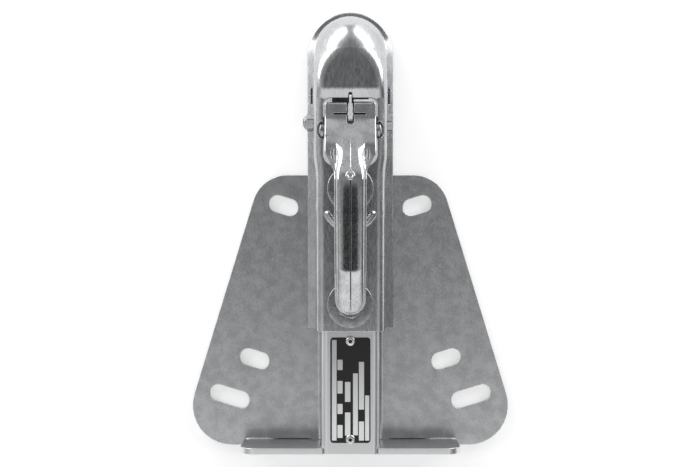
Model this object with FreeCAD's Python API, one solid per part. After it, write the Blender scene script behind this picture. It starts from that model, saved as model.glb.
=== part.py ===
import FreeCAD, Part
import math
import os

from FreeCAD import Vector

# Ball coupler of an unbraked trailer, bolted to the plate that carries it on the drawbar.
# The origin is the centre of the tow ball. +Y points forward, to the towing car, and +Z up.

# Tow ball and the cup that is pressed over it
BALL_RADIUS = 25.0
BALL_PLAY = 0.3
BODY_SHEET = 4.0
DOME_RADIUS = BALL_RADIUS + BALL_PLAY + BODY_SHEET

# Heights, measured from the ball centre
PLATE_SHEET = 5.0
BALL_ABOVE_PLATE = 16.0
HAT_HEIGHT = 38.0
PLATE_TOP = -BALL_ABOVE_PLATE
PLATE_BOTTOM = PLATE_TOP - PLATE_SHEET
HAT_TOP = PLATE_TOP + HAT_HEIGHT
BODY_TOP = HAT_TOP + BODY_SHEET
SKIRT_GAP = 0.8
SKIRT_BOTTOM = PLATE_TOP + SKIRT_GAP
SHOULDER_TOP = -4.0
DOME_REAR_TOP = 28.6

# Mounting plate outline, seen from above
PLATE_FRONT = -96.7
PLATE_REAR = -322.0
PLATE_FRONT_HALF = 74.7
PLATE_SIDE_ANGLE = 16.9
PLATE_FRONT_CORNER = 29.0
PLATE_REAR_CORNER = 33.0

# Hat channel that is pressed up along the middle of the plate
HAT_HALF = 23.5
HAT_CORNER = 5.5
HAT_FOOT = 4.0
HAT_INNER_CORNER = 1.0
HAT_TONGUE = 4.0

# Bar that stands along the rear edge, on both sides of the hat, welded near its outer ends
FLANGE_TOP = HAT_TOP
FLANGE_END = 88.7
FLANGE_END_CORNER = 14.0
FLANGE_HAT_GAP = 0.8
FLANGE_WELD = 1.4
FLANGE_WELD_LENGTH = 24.0

# Slots for the drawbar bolts: distance from the centre line, place along the plate, length
SLOT_WIDTH = 14.0
FRONT_SLOT = (55.8, -122.2, 24.5)
MIDDLE_SLOT = (80.0, -250.2, 25.0)
REAR_SLOT = (100.8, -281.5, 34.0)

# Coupler body
BODY_REAR = -223.5
TAIL_FIT = 0.3
TAIL_HALF = HAT_HALF + TAIL_FIT + BODY_SHEET
SKIRT_HALF = 35.4
NECK_REAR = -94.3
NECK_FRONT = -83.8
DOME_REAR = -31.0
DOME_CENTRE = 1.4
DOME_STEPS = 3
DOME_FLAT = 0.05
DOME_EASE = 1.6
ROOF_FRONT = -38.0
BODY_CORNER = 7.0
CREST_CORNER = 8.5
SKIRT_CORNER = 3.0
SHOULDER_FOOT = 1.6
SHOULDER_FOOT_SPREAD = 0.7
INNER_SKIRT_CORNER = 0.6
INNER_CORNER_LEAST = 1.0
BEAD_CENTRE = -121.3
BEAD_RADIUS = 20.5
BEAD_WIRE = 2.0
BEAD_RISE = 1.3
BEAD_SWEEP = 128.0

# Handle: half width between the walls, front edge and the rear end of its wide part
HANDLE_SHEET = 2.5
HANDLE_HALF = 20.5
HANDLE_FRONT = -40.5
HANDLE_WIDE_REAR = -82.0

# Window in the roof of the body, and the notch that the catch passes
WINDOW_PLAY = 1.3
WINDOW_HALF = HANDLE_HALF + WINDOW_PLAY
WINDOW_REAR = -92.0
WINDOW_FRONT_EDGE = -37.7
WINDOW_FRONT_CORNER = 5.5
WINDOW_REAR_CORNER = 10.0
NOTCH_FRONT = -32.4
NOTCH_PLAY = 0.4

# Inspection slots in the shoulders
SHOULDER_SLOT_PLACE = -32.4
SHOULDER_SLOT_LENGTH = 14.0
SHOULDER_SLOT_WIDTH = 2.6
SHOULDER_SLOT_HALF = 31.0

# Vertical bolts, through the roof of the body and the hat
MOUNT_BOLT_PLACES = (-110.0, -202.0)
MOUNT_BOLT_RADIUS = 6.0
MOUNT_HOLE_PLAY = 0.5
MOUNT_HEX = 19.0
MOUNT_HEAD = 7.5
MOUNT_NUT = 10.0
MOUNT_BOLT_LENGTH = 38.0
MOUNT_HEX_TURN = 10.0
HEX_CHAMFER_SLOPE = 0.6
LARGE_WASHER_RADIUS = 18.4
LARGE_WASHER_THICK = 3.0
SMALL_WASHER_RADIUS = 12.0
SMALL_WASHER_THICK = 2.5
WASHER_BORE_PLAY = 0.5

# Jaw pivot: bolt, sleeve and nut
JAW_PIVOT_Y = -55.3
JAW_PIVOT_Z = 4.7
JAW_BOLT_RADIUS = 4.0
JAW_BOLT_PLAY = 0.2
JAW_HEX = 13.0
JAW_HEAD = 5.3
JAW_NUT = 8.0
JAW_NUT_HEX = 6.4
JAW_NUT_COLLAR = 5.5
JAW_THREAD_END = 1.2
SLEEVE_RADIUS = 5.5
SLEEVE_END_GAP = 0.05
RUNNING_FIT = 0.05

# Locking jaw
JAW_HALF = 15.0
JAW_BOSS = 7.2
JAW_EAR_INNER = 9.0
JAW_BOTTOM = -14.6

# Side view of the jaw: place and height of each corner from its pivot, and its radius
JAW_SIDE = (
    (-5.0, 0.0, 4.0),
    (1.0, JAW_BOSS - 0.6, 4.0),
    (8.0, 3.0, 5.0),
    (16.0, -5.0, 4.0),
)
JAW_LIP_TOP = -1.8
JAW_LIP_OVERLAP = 2.0
JAW_CUP_DEPTH = 9.0
JAW_LIP_CORNER = 1.0
JAW_HEEL = (10.0, 6.0)
JAW_BACK = (-4.0, -5.0, 3.0)

# Torsion spring of the jaw, wound round the sleeve
SPRING_WIRE = 1.0
SPRING_RADIUS = 7.3
SPRING_PITCH = 2.5
SPRING_SLOT_PLAY = 2.0
SPRING_SEAT_GAP = 0.05
SPRING_LEG = 16.0
SPRING_LEG_TURN = 243.0
SPRING_TURNS = 5 - SPRING_LEG_TURN / 360
SPRING_STEPS = 12
SPRING_SIDES = 8

# Handle pivot
PIVOT_Y = -63.2
PIVOT_Z = 18.8
PIVOT_RADIUS = 5.0
PIVOT_HEAD_RADIUS = 6.5
PIVOT_END_SINK = 2.8
PIVOT_END = DOME_RADIUS - PIVOT_END_SINK
PIVOT_NECK_PLAY = 0.2
PIVOT_HEAD_PLAY = 0.05

# Grip of the handle, its lobe, slits and rivet
GRIP_START = -96.0
GRIP_START_HALF = 13.2
GRIP_TIP_CENTRE = -197.3
GRIP_TIP_HALF = 11.4
GRIP_TIP_LOW = 37.2
GRIP_REAR = -212.0
HANDLE_OVER = 60.0
HANDLE_LOBE = 9.5
RIDGE_BEND = 0.45
RIDGE_SLOPE = 0.4
CROSS_SLIT_PLACE = -51.2
CROSS_SLIT_HALF = 13.0
CROSS_SLIT_WIDTH = 1.6
SIDE_SLOT_HALF = 13.8
SIDE_SLOT_PLACE = -83.0
SIDE_SLOT_LENGTH = 9.0
SIDE_SLOT_WIDTH = 1.8
HANDLE_RIVET_PLACE = -100.8
HANDLE_RIVET_RADIUS = 3.8
HANDLE_RIVET_CROWN = 3.0
HANDLE_RIVET_HEAD = 1.0
HANDLE_RIVET_SHANK = 2.0
HANDLE_RIVET_SINK = 0.3

# Sections of the handle from front to rear
HANDLE_STATIONS = (
    # place along Y, half width, shoulder height, half width of the ridge, ridge height
    (HANDLE_FRONT, HANDLE_HALF, 26.2, 16.5, 27.6),
    (-53.0, HANDLE_HALF, 27.6, 15.5, 29.2),
    (-62.0, HANDLE_HALF, 30.4, 11.5, 33.0),
    (HANDLE_WIDE_REAR, HANDLE_HALF, 37.0, 9.8, 42.6),
    (GRIP_START, GRIP_START_HALF, 43.4, 9.2, 49.4),
    (-104.0, 13.1, 45.0, 9.1, 51.6),
    (-125.0, 12.9, 46.2, 9.0, 52.8),
    (-178.0, 12.0, 45.8, 8.6, 52.4),
    (GRIP_TIP_CENTRE, GRIP_TIP_HALF, 41.6, 8.0, 45.8),
    (-211.0, GRIP_TIP_HALF - 0.6, 39.8, 7.4, 41.6),
)

# Plan of the handle: radii at its front corners, behind its wide part and before its grip
HANDLE_FRONT_CORNER = 3.5
HANDLE_WIDE_CORNER = 6.0
HANDLE_GRIP_CORNER = 8.0

# Lower edge of the handle: corners about its pivot, then along the grip, each with its radius
HANDLE_LOBE_SIDE = (
    (8.6, 1.2, 1.0),
    (6.0, -HANDLE_LOBE, 5.0),
    (-6.0, -HANDLE_LOBE, 5.0),
)
HANDLE_GRIP_SIDE = (
    (HANDLE_WIDE_REAR - 2.0, BODY_TOP + 1.5, 3.0),
    (GRIP_START - 2.0, 39.5, 4.0),
    (-150.0, 42.0, 60.0),
)
HANDLE_FRONT_LOW = 2.0

# Cam plates inside the handle, on the pivot
CAM_SHEET = 2.0
CAM_GAP = 0.3
CAM_LOBE = 10.0
CAM_WEB_GAP = 0.4
CAM_LOW_SIDE = (
    (9.0, -1.0, 4.0),
    (3.0, -CAM_LOBE, 4.0),
    (-8.0, -CAM_LOBE, 6.0),
)
CAM_FRONT = 5.5
CAM_FRONT_CORNER = 1.5
CAM_REAR = 12.0
CAM_REAR_CORNER = 2.0

# Safety catch and its pin
CATCH_THICK = 3.4
CATCH_PLAY = 0.5
CATCH_NOSE = -36.0
CATCH_NOSE_THICK = 1.8
CATCH_NOSE_RUN = 7.0
CATCH_TOP = 33.5
CATCH_PIN_Y = -46.0
CATCH_PIN_Z = 22.2
CATCH_PIN_RADIUS = 1.75
CATCH_PIN_COVER = 0.4
CATCH_SLOT_REAR = 13.0
CATCH_LOW = BODY_TOP + 1.2
CATCH_NOSE_CORNERS = (1.0, 2.0)
CATCH_SIDE = (
    (-9.0, CATCH_TOP + 1.5 - CATCH_PIN_Z, 3.0),
    (-11.0, CATCH_TOP - 3.0 - CATCH_PIN_Z, 1.5),
    (-4.0, 2.0, 3.0),
    (-3.2, -3.2, 2.5),
    (3.2, -3.2, 2.5),
    (4.2, 3.3, 2.0),
)
CATCH_SPRING_WIRE = 0.5
CATCH_SPRING_RADIUS = 2.4
CATCH_SPRING_TURNS = 4
CATCH_SPRING_PITCH = 3.0

# Type plate
TYPE_PLATE_HALF = 16.0
TYPE_PLATE_FRONT = -228.5
TYPE_PLATE_REAR = -312.5
TYPE_PLATE_THICK = 0.8
TYPE_PLATE_CORNER = 2.5
TYPE_RIVET_INSET = 2.8
TYPE_RIVET_RADIUS = 4.0
TYPE_RIVET_HEAD = 1.6
TYPE_RIVET_SHANK = 2.0
TYPE_RIVET_HOLE = 1.25
TYPE_RIVET_BULB = 3.0

X = Vector(1, 0, 0)
Y = Vector(0, 1, 0)
Z = Vector(0, 0, 1)

# Depth of a cutter past the face it leaves
OVER = 2.0


# Outlines and solids

def at_plan(z):
    """Maps an outline's two numbers to X and Y at height z."""
    return lambda a, b: Vector(a, b, z)


def at_cross(y):
    """Maps an outline's two numbers to X and Z at place y."""
    return lambda a, b: Vector(a, y, b)


def at_side(x):
    """Maps an outline's two numbers to Y and Z at distance x."""
    return lambda a, b: Vector(x, a, b)


def outline(corners, place):
    """Closed wire through the corners, each (a, b) sharp or (a, b, radius) rounded."""
    starts, ends, arcs = [], [], []
    count = len(corners)
    for i, corner in enumerate(corners):
        here = place(corner[0], corner[1])
        radius = corner[2] if len(corner) > 2 else 0.0
        if radius <= 0:
            starts.append(here)
            ends.append(here)
            arcs.append(None)
            continue
        before = place(*corners[i - 1][:2])
        after = place(*corners[(i + 1) % count][:2])
        back = (before - here).normalize()
        on = (after - here).normalize()
        half = back.getAngle(on) / 2
        reach = radius / math.tan(half)
        middle = (back + on).normalize() * (radius / math.sin(half) - radius)
        starts.append(here + back * reach)
        ends.append(here + on * reach)
        arcs.append(Part.Arc(starts[-1], here + middle, ends[-1]).toShape())
    edges = []
    for i in range(count):
        if arcs[i]:
            edges.append(arcs[i])
        following = starts[(i + 1) % count]
        if (following - ends[i]).Length > 1e-6:
            edges.append(Part.makeLine(ends[i], following))
    return Part.Wire(edges)


def prism(corners, place, run):
    return Part.Face(outline(corners, place)).extrude(run)


def mirrored(corners):
    """Completes an outline of the right half, which runs from bottom to top, with its left half."""
    left = [(-c[0],) + tuple(c[1:]) for c in reversed(corners)]
    return list(corners) + left


def box(low, high):
    size = [h - l for l, h in zip(low, high)]
    return Part.makeBox(*size, Vector(*low))


def rod_x(radius, x_low, x_high, y, z):
    return Part.makeCylinder(radius, x_high - x_low, Vector(x_low, y, z), X)


def rod_z(radius, z_low, z_high, x, y):
    return Part.makeCylinder(radius, z_high - z_low, Vector(x, y, z_low), Z)


def slot_corners(x, y, length, width, angle):
    """Outline of a slot with round ends, its length turned by angle from X."""
    c, s = math.cos(math.radians(angle)), math.sin(math.radians(angle))
    a, b = length / 2, width / 2
    raw = ((-a, -b), (a, -b), (a, b), (-a, b))
    return [(x + u * c - v * s, y + u * s + v * c, b) for u, v in raw]


def about_pivot(corners, y, z):
    """Corners of a side view that are given from a pivot at place y and height z."""
    return [(y + a, z + b, radius) for a, b, radius in corners]


def hexagon(across, turn):
    """Corners of a hexagon by its width across flats, the first corner at angle turn."""
    reach = across / math.sqrt(3)
    angles = [math.radians(turn + 60 * i) for i in range(6)]
    return [(reach * math.cos(a), reach * math.sin(a)) for a in angles]


def hex_head(across, thick, turn, chamfered_ends):
    """Hexagon standing on z = 0, its corners turned off at one end or at both."""
    body = prism(hexagon(across, turn), at_plan(0), Z * thick)
    reach = across / math.sqrt(3)
    fall = (reach - across / 2) * HEX_CHAMFER_SLOPE
    low = fall if chamfered_ends == 2 else 0.0
    edge = across / 2
    profile = [(0, 0), (edge if low else reach, 0)]
    if low:
        profile.append((reach, low))
    profile += [(reach, thick - fall), (edge, thick), (0, thick)]
    round_body = Part.Face(outline(profile, at_cross(0))).revolve(Vector(0, 0, 0), Z, 360)
    return body.common(round_body)


def moved(shape, offset, axis=None, angle=0):
    """Copy of a shape, turned about a row axis through the origin and then shifted."""
    copy = shape.copy()
    if axis:
        copy.rotate(Vector(0, 0, 0), axis, angle)
    copy.translate(offset)
    return copy


def coil(radius, wire, pitch, first, last, legs):
    """Wire coiled about X from angle first to last, in degrees from its lowest point, with straight legs.

    Each section is a polygon in a plane through the axis, and the wire is ruled between them.
    """
    steps = round((last - first) / 360 * SPRING_STEPS)
    middle = (first + last) / 2
    sections = []
    for i in range(steps + 1):
        turned = first + (last - first) * i / steps
        angle = math.radians(turned)
        outward = Vector(0, math.sin(angle), -math.cos(angle))
        along = Vector(0, math.cos(angle), math.sin(angle))
        centre = outward * radius + X * (pitch * (turned - middle) / 360)
        if i == 0 and legs[0]:
            sections.append(wire_section(centre - along * legs[0], outward, wire))
        sections.append(wire_section(centre, outward, wire))
        if i == steps and legs[1]:
            sections.append(wire_section(centre + along * legs[1], outward, wire))
    return Part.makeLoft(sections, True, True)


def wire_section(centre, outward, wire):
    angles = [2 * math.pi * (k + 0.5) / SPRING_SIDES for k in range(SPRING_SIDES)]
    corners = [centre + outward * (wire * math.cos(a)) + X * (wire * math.sin(a)) for a in angles]
    return Part.makePolygon(corners + corners[:1])


# Mounting plate

def plate_half_at(y):
    return PLATE_FRONT_HALF + math.tan(math.radians(PLATE_SIDE_ANGLE)) * (PLATE_FRONT - y)


def plate_outline():
    """Plan of the plate with the tongue of the hat ahead of its front edge."""
    tongue = HAT_HALF + HAT_FOOT
    right = [
        (plate_half_at(PLATE_REAR), PLATE_REAR, PLATE_REAR_CORNER),
        (plate_half_at(PLATE_FRONT), PLATE_FRONT, PLATE_FRONT_CORNER),
        (tongue, PLATE_FRONT),
        (tongue, PLATE_FRONT + HAT_TONGUE),
    ]
    return mirrored(right)


def plate_section():
    """Cross-section of the sheet: flat, foot radius, wall of the hat and its top."""
    wide = plate_half_at(PLATE_REAR)
    inner = HAT_HALF - PLATE_SHEET
    top = [(wide, PLATE_TOP), (HAT_HALF, PLATE_TOP, HAT_FOOT), (HAT_HALF, HAT_TOP, HAT_CORNER)]
    foot = (-inner, PLATE_BOTTOM, HAT_FOOT + PLATE_SHEET)
    under = [(-wide, PLATE_BOTTOM), foot, (-inner, HAT_TOP - PLATE_SHEET, HAT_INNER_CORNER)]
    return mirrored(top) + under + [(-a, *rest) for a, *rest in reversed(under)]


def rear_flange():
    """Bar standing on the rear edge, its upper outer corners rounded, open where the hat passes."""
    face = mirrored([
        (FLANGE_END, PLATE_TOP - PLATE_SHEET / 2),
        (FLANGE_END, FLANGE_TOP, FLANGE_END_CORNER),
    ])
    bar = prism(face, at_cross(PLATE_REAR), Y * PLATE_SHEET)
    inner = HAT_HALF + FLANGE_HAT_GAP
    bar = bar.cut(box(
        (-inner, PLATE_REAR - OVER, PLATE_BOTTOM - OVER),
        (inner, PLATE_REAR + PLATE_SHEET + OVER, FLANGE_TOP + OVER),
    ))
    face_place = PLATE_REAR + PLATE_SHEET
    weld = [
        (face_place - FLANGE_WELD, PLATE_TOP - FLANGE_WELD),
        (face_place + FLANGE_WELD, PLATE_TOP - FLANGE_WELD),
        (face_place + FLANGE_WELD, PLATE_TOP),
        (face_place, PLATE_TOP + FLANGE_WELD),
        (face_place - FLANGE_WELD, PLATE_TOP + FLANGE_WELD),
    ]
    for start in (-FLANGE_END, FLANGE_END - FLANGE_WELD_LENGTH):
        bar = bar.fuse(prism(weld, at_side(start), X * FLANGE_WELD_LENGTH))
    return bar


def mounting_plate():
    run = PLATE_FRONT + HAT_TONGUE - PLATE_REAR
    sheet = prism(plate_section(), at_cross(PLATE_REAR), Y * run)
    depth = FLANGE_TOP - PLATE_BOTTOM + 2 * OVER
    sheet = sheet.common(prism(plate_outline(), at_plan(PLATE_BOTTOM - OVER), Z * depth))
    sheet = sheet.fuse(rear_flange())
    for x, y, length in (FRONT_SLOT, MIDDLE_SLOT, REAR_SLOT):
        for side in (-1, 1):
            corners = slot_corners(side * x, y, length, SLOT_WIDTH, side * PLATE_SIDE_ANGLE)
            sheet = sheet.cut(prism(corners, at_plan(PLATE_BOTTOM - OVER), Z * (PLATE_SHEET + 2 * OVER)))
    for y in MOUNT_BOLT_PLACES:
        hole = MOUNT_BOLT_RADIUS + MOUNT_HOLE_PLAY
        sheet = sheet.cut(rod_z(hole, HAT_TOP - PLATE_SHEET - OVER, HAT_TOP + OVER, 0, y))
    for y in type_rivet_places():
        sheet = sheet.cut(rod_z(TYPE_RIVET_SHANK, HAT_TOP - PLATE_SHEET - OVER, HAT_TOP + OVER, 0, y))
    return sheet.removeSplitter()


# Type plate and its rivets

def type_rivet_places():
    return (TYPE_PLATE_FRONT - TYPE_RIVET_INSET, TYPE_PLATE_REAR + TYPE_RIVET_INSET)


def type_plate():
    corners = mirrored([
        (TYPE_PLATE_HALF, TYPE_PLATE_REAR, TYPE_PLATE_CORNER),
        (TYPE_PLATE_HALF, TYPE_PLATE_FRONT, TYPE_PLATE_CORNER),
    ])
    plate = prism(corners, at_plan(HAT_TOP), Z * TYPE_PLATE_THICK)
    for y in type_rivet_places():
        plate = plate.cut(rod_z(TYPE_RIVET_SHANK, HAT_TOP - OVER, HAT_TOP + OVER, 0, y))
    return plate


def type_rivets():
    """Blind rivets: domed head on the plate, hollow shank through the hat, bulb below it."""
    base = HAT_TOP + TYPE_PLATE_THICK
    under = HAT_TOP - PLATE_SHEET
    profile = [
        (TYPE_RIVET_HOLE, under - TYPE_RIVET_BULB),
        (TYPE_RIVET_BULB, under - TYPE_RIVET_BULB),
        (TYPE_RIVET_BULB, under),
        (TYPE_RIVET_SHANK, under),
        (TYPE_RIVET_SHANK, base),
        (TYPE_RIVET_RADIUS, base),
        (TYPE_RIVET_RADIUS, base + TYPE_RIVET_HEAD / 3),
        (TYPE_RIVET_RADIUS / 2, base + TYPE_RIVET_HEAD),
        (TYPE_RIVET_HOLE, base + TYPE_RIVET_HEAD),
    ]
    rivet = Part.Face(outline(profile, at_cross(0))).revolve(Vector(0, 0, 0), Z, 360)
    return [moved(rivet, Vector(0, y, 0)) for y in type_rivet_places()]


# Coupler body

def body_half_section(half, top, corner, inset):
    """Right half of the two-stepped cross-section, moved inwards by inset."""
    bottom = SKIRT_BOTTOM - (OVER if inset else 0.0)
    skirt = SKIRT_HALF - inset
    shoulder = SHOULDER_TOP - inset
    skirt_corner = max(SKIRT_CORNER - inset, INNER_SKIRT_CORNER)
    foot = SHOULDER_FOOT + inset * SHOULDER_FOOT_SPREAD
    return [
        (skirt, bottom),
        (skirt, shoulder, skirt_corner),
        (half - inset, shoulder, foot),
        (half - inset, top - inset, max(corner - inset, INNER_CORNER_LEAST)),
    ]


def dome_section(share, inset):
    """Section between the crest behind the dome, share 0, and the centre of the dome, share 1."""
    top = DOME_REAR_TOP + (DOME_RADIUS - DOME_REAR_TOP) * share * (2 - share)
    corner = CREST_CORNER + (DOME_RADIUS - DOME_FLAT - CREST_CORNER) * share ** DOME_EASE
    return body_half_section(DOME_RADIUS, top, corner, inset)


def body_envelope(inset):
    """Solid inside the outer or inner skin: channel behind the dome, half-turned dome in front."""
    rear = BODY_REAR - (OVER if inset else 0.0)
    tail = body_half_section(TAIL_HALF, BODY_TOP, BODY_CORNER, inset)
    neck = body_half_section(DOME_RADIUS, BODY_TOP, BODY_CORNER, inset)
    stations = [
        (rear, tail),
        (NECK_REAR, tail),
        (NECK_FRONT, neck),
        (ROOF_FRONT, neck),
    ]
    for step in range(DOME_STEPS + 1):
        share = step / DOME_STEPS
        place = DOME_REAR + (DOME_CENTRE - DOME_REAR) * share
        stations.append((place, dome_section(share, inset)))
    wires = [outline(mirrored(section), at_cross(y)) for y, section in stations]
    channel = Part.makeLoft(wires, True, True)
    half = dome_section(1, inset)
    profile = [(0.0, half[0][1])] + half + [(0.0, half[-1][1])]
    dome = Part.Face(outline(profile, at_cross(0))).revolve(Vector(0, 0, 0), Z, 180)
    return channel.fuse(moved(dome, Y * DOME_CENTRE)).removeSplitter()


def roof_bead():
    """Raised bead in an arc behind the front bolt, with round ends."""
    centre = Vector(0, BEAD_CENTRE, BODY_TOP + BEAD_RISE - BEAD_WIRE)
    start = -90 - BEAD_SWEEP / 2
    place = Vector(BEAD_RADIUS, 0, 0)
    section = Part.Face(Part.Wire(Part.makeCircle(BEAD_WIRE, place, Y)))
    ring = section.revolve(Vector(0, 0, 0), Z, BEAD_SWEEP)
    for angle in (0, BEAD_SWEEP):
        ball = Part.makeSphere(BEAD_WIRE, place)
        ring = ring.fuse(moved(ball, Vector(0, 0, 0), Z, angle))
    return moved(ring, centre, Z, start)


def coupler_body():
    shell = body_envelope(0.0).cut(body_envelope(BODY_SHEET))
    bead = roof_bead().common(box(
        (-SKIRT_HALF, BODY_REAR, BODY_TOP - BODY_SHEET / 2),
        (SKIRT_HALF, 0, BODY_TOP + OVER),
    ))
    shell = shell.fuse(bead)
    window = mirrored([
        (WINDOW_HALF, WINDOW_REAR, WINDOW_REAR_CORNER),
        (WINDOW_HALF, WINDOW_FRONT_EDGE, WINDOW_FRONT_CORNER),
    ])
    roof = BODY_TOP - BODY_SHEET
    shell = shell.cut(prism(window, at_plan(roof - 2 * OVER), Z * (BODY_SHEET + 5 * OVER)))
    notch = CATCH_NOSE_THICK / 2 + NOTCH_PLAY
    shell = shell.cut(box(
        (-notch, WINDOW_FRONT_EDGE - OVER, roof - 2 * OVER),
        (notch, NOTCH_FRONT, DOME_RADIUS + OVER),
    ))
    for side in (-1, 1):
        low, high = sorted((side * (WINDOW_HALF - OVER), side * (PIVOT_END + PIVOT_HEAD_PLAY)))
        shell = shell.cut(rod_x(PIVOT_HEAD_RADIUS + PIVOT_HEAD_PLAY, low, high, PIVOT_Y, PIVOT_Z))
        corners = slot_corners(
            side * SHOULDER_SLOT_HALF, SHOULDER_SLOT_PLACE, SHOULDER_SLOT_LENGTH, SHOULDER_SLOT_WIDTH, 90
        )
        depth = BODY_SHEET + 2 * OVER
        shell = shell.cut(prism(corners, at_plan(SHOULDER_TOP - BODY_SHEET - OVER), Z * depth))
    hole = JAW_BOLT_RADIUS + JAW_BOLT_PLAY
    shell = shell.cut(rod_x(hole, -SKIRT_HALF, SKIRT_HALF, JAW_PIVOT_Y, JAW_PIVOT_Z))
    for y in MOUNT_BOLT_PLACES:
        hole = MOUNT_BOLT_RADIUS + MOUNT_HOLE_PLAY
        shell = shell.cut(rod_z(hole, roof - OVER, BODY_TOP + OVER, 0, y))
    return shell.removeSplitter()


# Vertical bolts with washers and nuts

def mount_bolts():
    seat = BODY_TOP + LARGE_WASHER_THICK
    head = hex_head(MOUNT_HEX, MOUNT_HEAD, MOUNT_HEX_TURN - 90, 1)
    shank = rod_z(MOUNT_BOLT_RADIUS, -MOUNT_BOLT_LENGTH, 0, 0, 0)
    bolt = head.fuse(shank)
    return [moved(bolt, Vector(0, y, seat)) for y in MOUNT_BOLT_PLACES]


def washers(outer, thick, bottom):
    bore = MOUNT_BOLT_RADIUS + WASHER_BORE_PLAY
    ring = rod_z(outer, 0, thick, 0, 0).cut(rod_z(bore, 0, thick, 0, 0))
    return [moved(ring, Vector(0, y, bottom)) for y in MOUNT_BOLT_PLACES]


def mount_nuts():
    top = HAT_TOP - PLATE_SHEET - SMALL_WASHER_THICK
    nut = hex_head(MOUNT_HEX, MOUNT_NUT, MOUNT_HEX_TURN - 60, 2)
    nut = nut.cut(rod_z(MOUNT_BOLT_RADIUS, 0, MOUNT_NUT, 0, 0))
    return [moved(nut, Vector(0, y, top - MOUNT_NUT)) for y in MOUNT_BOLT_PLACES]


# Jaw, its pivot and its spring

def jaw_pivot_bolt():
    """Bolt along X: head outside the right wall, thread end past the nut on the left."""
    head = moved(hex_head(JAW_HEX, JAW_HEAD, 90, 1), Vector(DOME_RADIUS, 0, 0), Y, 90)
    end = -(DOME_RADIUS + JAW_NUT + JAW_THREAD_END)
    bolt = head.fuse(rod_x(JAW_BOLT_RADIUS, end, DOME_RADIUS, 0, 0))
    return moved(bolt, Vector(0, JAW_PIVOT_Y, JAW_PIVOT_Z))


def jaw_pivot_nut():
    """Locking nut with a plain collar on its outer end."""
    nut = hex_head(JAW_HEX, JAW_NUT_HEX, 90, 1)
    nut = nut.fuse(rod_z(JAW_NUT_COLLAR, 0, JAW_NUT, 0, 0))
    nut = nut.cut(rod_z(JAW_BOLT_RADIUS, 0, JAW_NUT, 0, 0))
    return moved(nut, Vector(-DOME_RADIUS, JAW_PIVOT_Y, JAW_PIVOT_Z), Y, -90)


def pivot_sleeve():
    half = DOME_RADIUS - BODY_SHEET - SLEEVE_END_GAP
    sleeve = rod_x(SLEEVE_RADIUS, -half, half, JAW_PIVOT_Y, JAW_PIVOT_Z)
    bore = JAW_BOLT_RADIUS + RUNNING_FIT
    return sleeve.cut(rod_x(bore, -half, half, JAW_PIVOT_Y, JAW_PIVOT_Z))


def jaw_slot_front():
    return JAW_PIVOT_Y + SPRING_RADIUS + SPRING_WIRE + SPRING_SLOT_PLAY


def locking_jaw():
    """Jaw behind the ball: ears on the sleeve and a cup that closes under the ball."""
    ball = BALL_RADIUS + BALL_PLAY
    lip = JAW_LIP_OVERLAP - ball
    heel, heel_corner = JAW_HEEL
    side = about_pivot(JAW_SIDE, JAW_PIVOT_Y, JAW_PIVOT_Z) + [
        (lip, JAW_LIP_TOP, JAW_LIP_CORNER),
        (lip + JAW_CUP_DEPTH, JAW_BOTTOM, JAW_LIP_CORNER),
        (JAW_PIVOT_Y + heel, JAW_BOTTOM, heel_corner),
    ] + about_pivot((JAW_BACK,), JAW_PIVOT_Y, JAW_PIVOT_Z)
    jaw = prism(side, at_side(-JAW_HALF), X * (2 * JAW_HALF))
    jaw = jaw.fuse(rod_x(JAW_BOSS, -JAW_HALF, JAW_HALF, JAW_PIVOT_Y, JAW_PIVOT_Z))
    jaw = jaw.cut(Part.makeSphere(ball))
    jaw = jaw.cut(rod_x(SLEEVE_RADIUS + RUNNING_FIT, -JAW_HALF, JAW_HALF, JAW_PIVOT_Y, JAW_PIVOT_Z))
    front = jaw_slot_front()
    jaw = jaw.cut(box(
        (-JAW_EAR_INNER, JAW_PIVOT_Y - 4 * JAW_BOSS, JAW_BOTTOM - OVER),
        (JAW_EAR_INNER, front, JAW_PIVOT_Z + 4 * JAW_BOSS),
    ))
    return jaw.removeSplitter()


def jaw_spring():
    """Torsion spring: coils on the sleeve, one leg up under the handle, one on the jaw."""
    lower_leg = jaw_slot_front() - JAW_PIVOT_Y - SPRING_SEAT_GAP
    last = SPRING_LEG_TURN + 360 * SPRING_TURNS
    spring = coil(SPRING_RADIUS, SPRING_WIRE, SPRING_PITCH, SPRING_LEG_TURN, last, (SPRING_LEG, lower_leg))
    return moved(spring, Vector(0, JAW_PIVOT_Y, JAW_PIVOT_Z))


# Handle

def handle_pivot_pin():
    """Pin across the body, its thicker ends let into the corners beside the window."""
    neck = WINDOW_HALF + PIVOT_NECK_PLAY
    pin = rod_x(PIVOT_RADIUS, -PIVOT_END, PIVOT_END, PIVOT_Y, PIVOT_Z)
    for side in (-1, 1):
        low, high = sorted((side * neck, side * PIVOT_END))
        pin = pin.fuse(rod_x(PIVOT_HEAD_RADIUS, low, high, PIVOT_Y, PIVOT_Z))
    return pin.removeSplitter()


def handle_plan(inset):
    """Plan of the handle: wide between the walls of the body, narrow grip, round tip."""
    tip = GRIP_TIP_HALF - inset
    rear = GRIP_TIP_CENTRE - tip
    right = [
        (tip, rear, tip),
        (tip, GRIP_TIP_CENTRE + 2.0),
        (GRIP_START_HALF - inset, GRIP_START, HANDLE_GRIP_CORNER),
        (HANDLE_HALF - inset, HANDLE_WIDE_REAR, HANDLE_WIDE_CORNER),
        (HANDLE_HALF - inset, HANDLE_FRONT - inset, HANDLE_FRONT_CORNER - inset),
    ]
    return mirrored(right)


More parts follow.
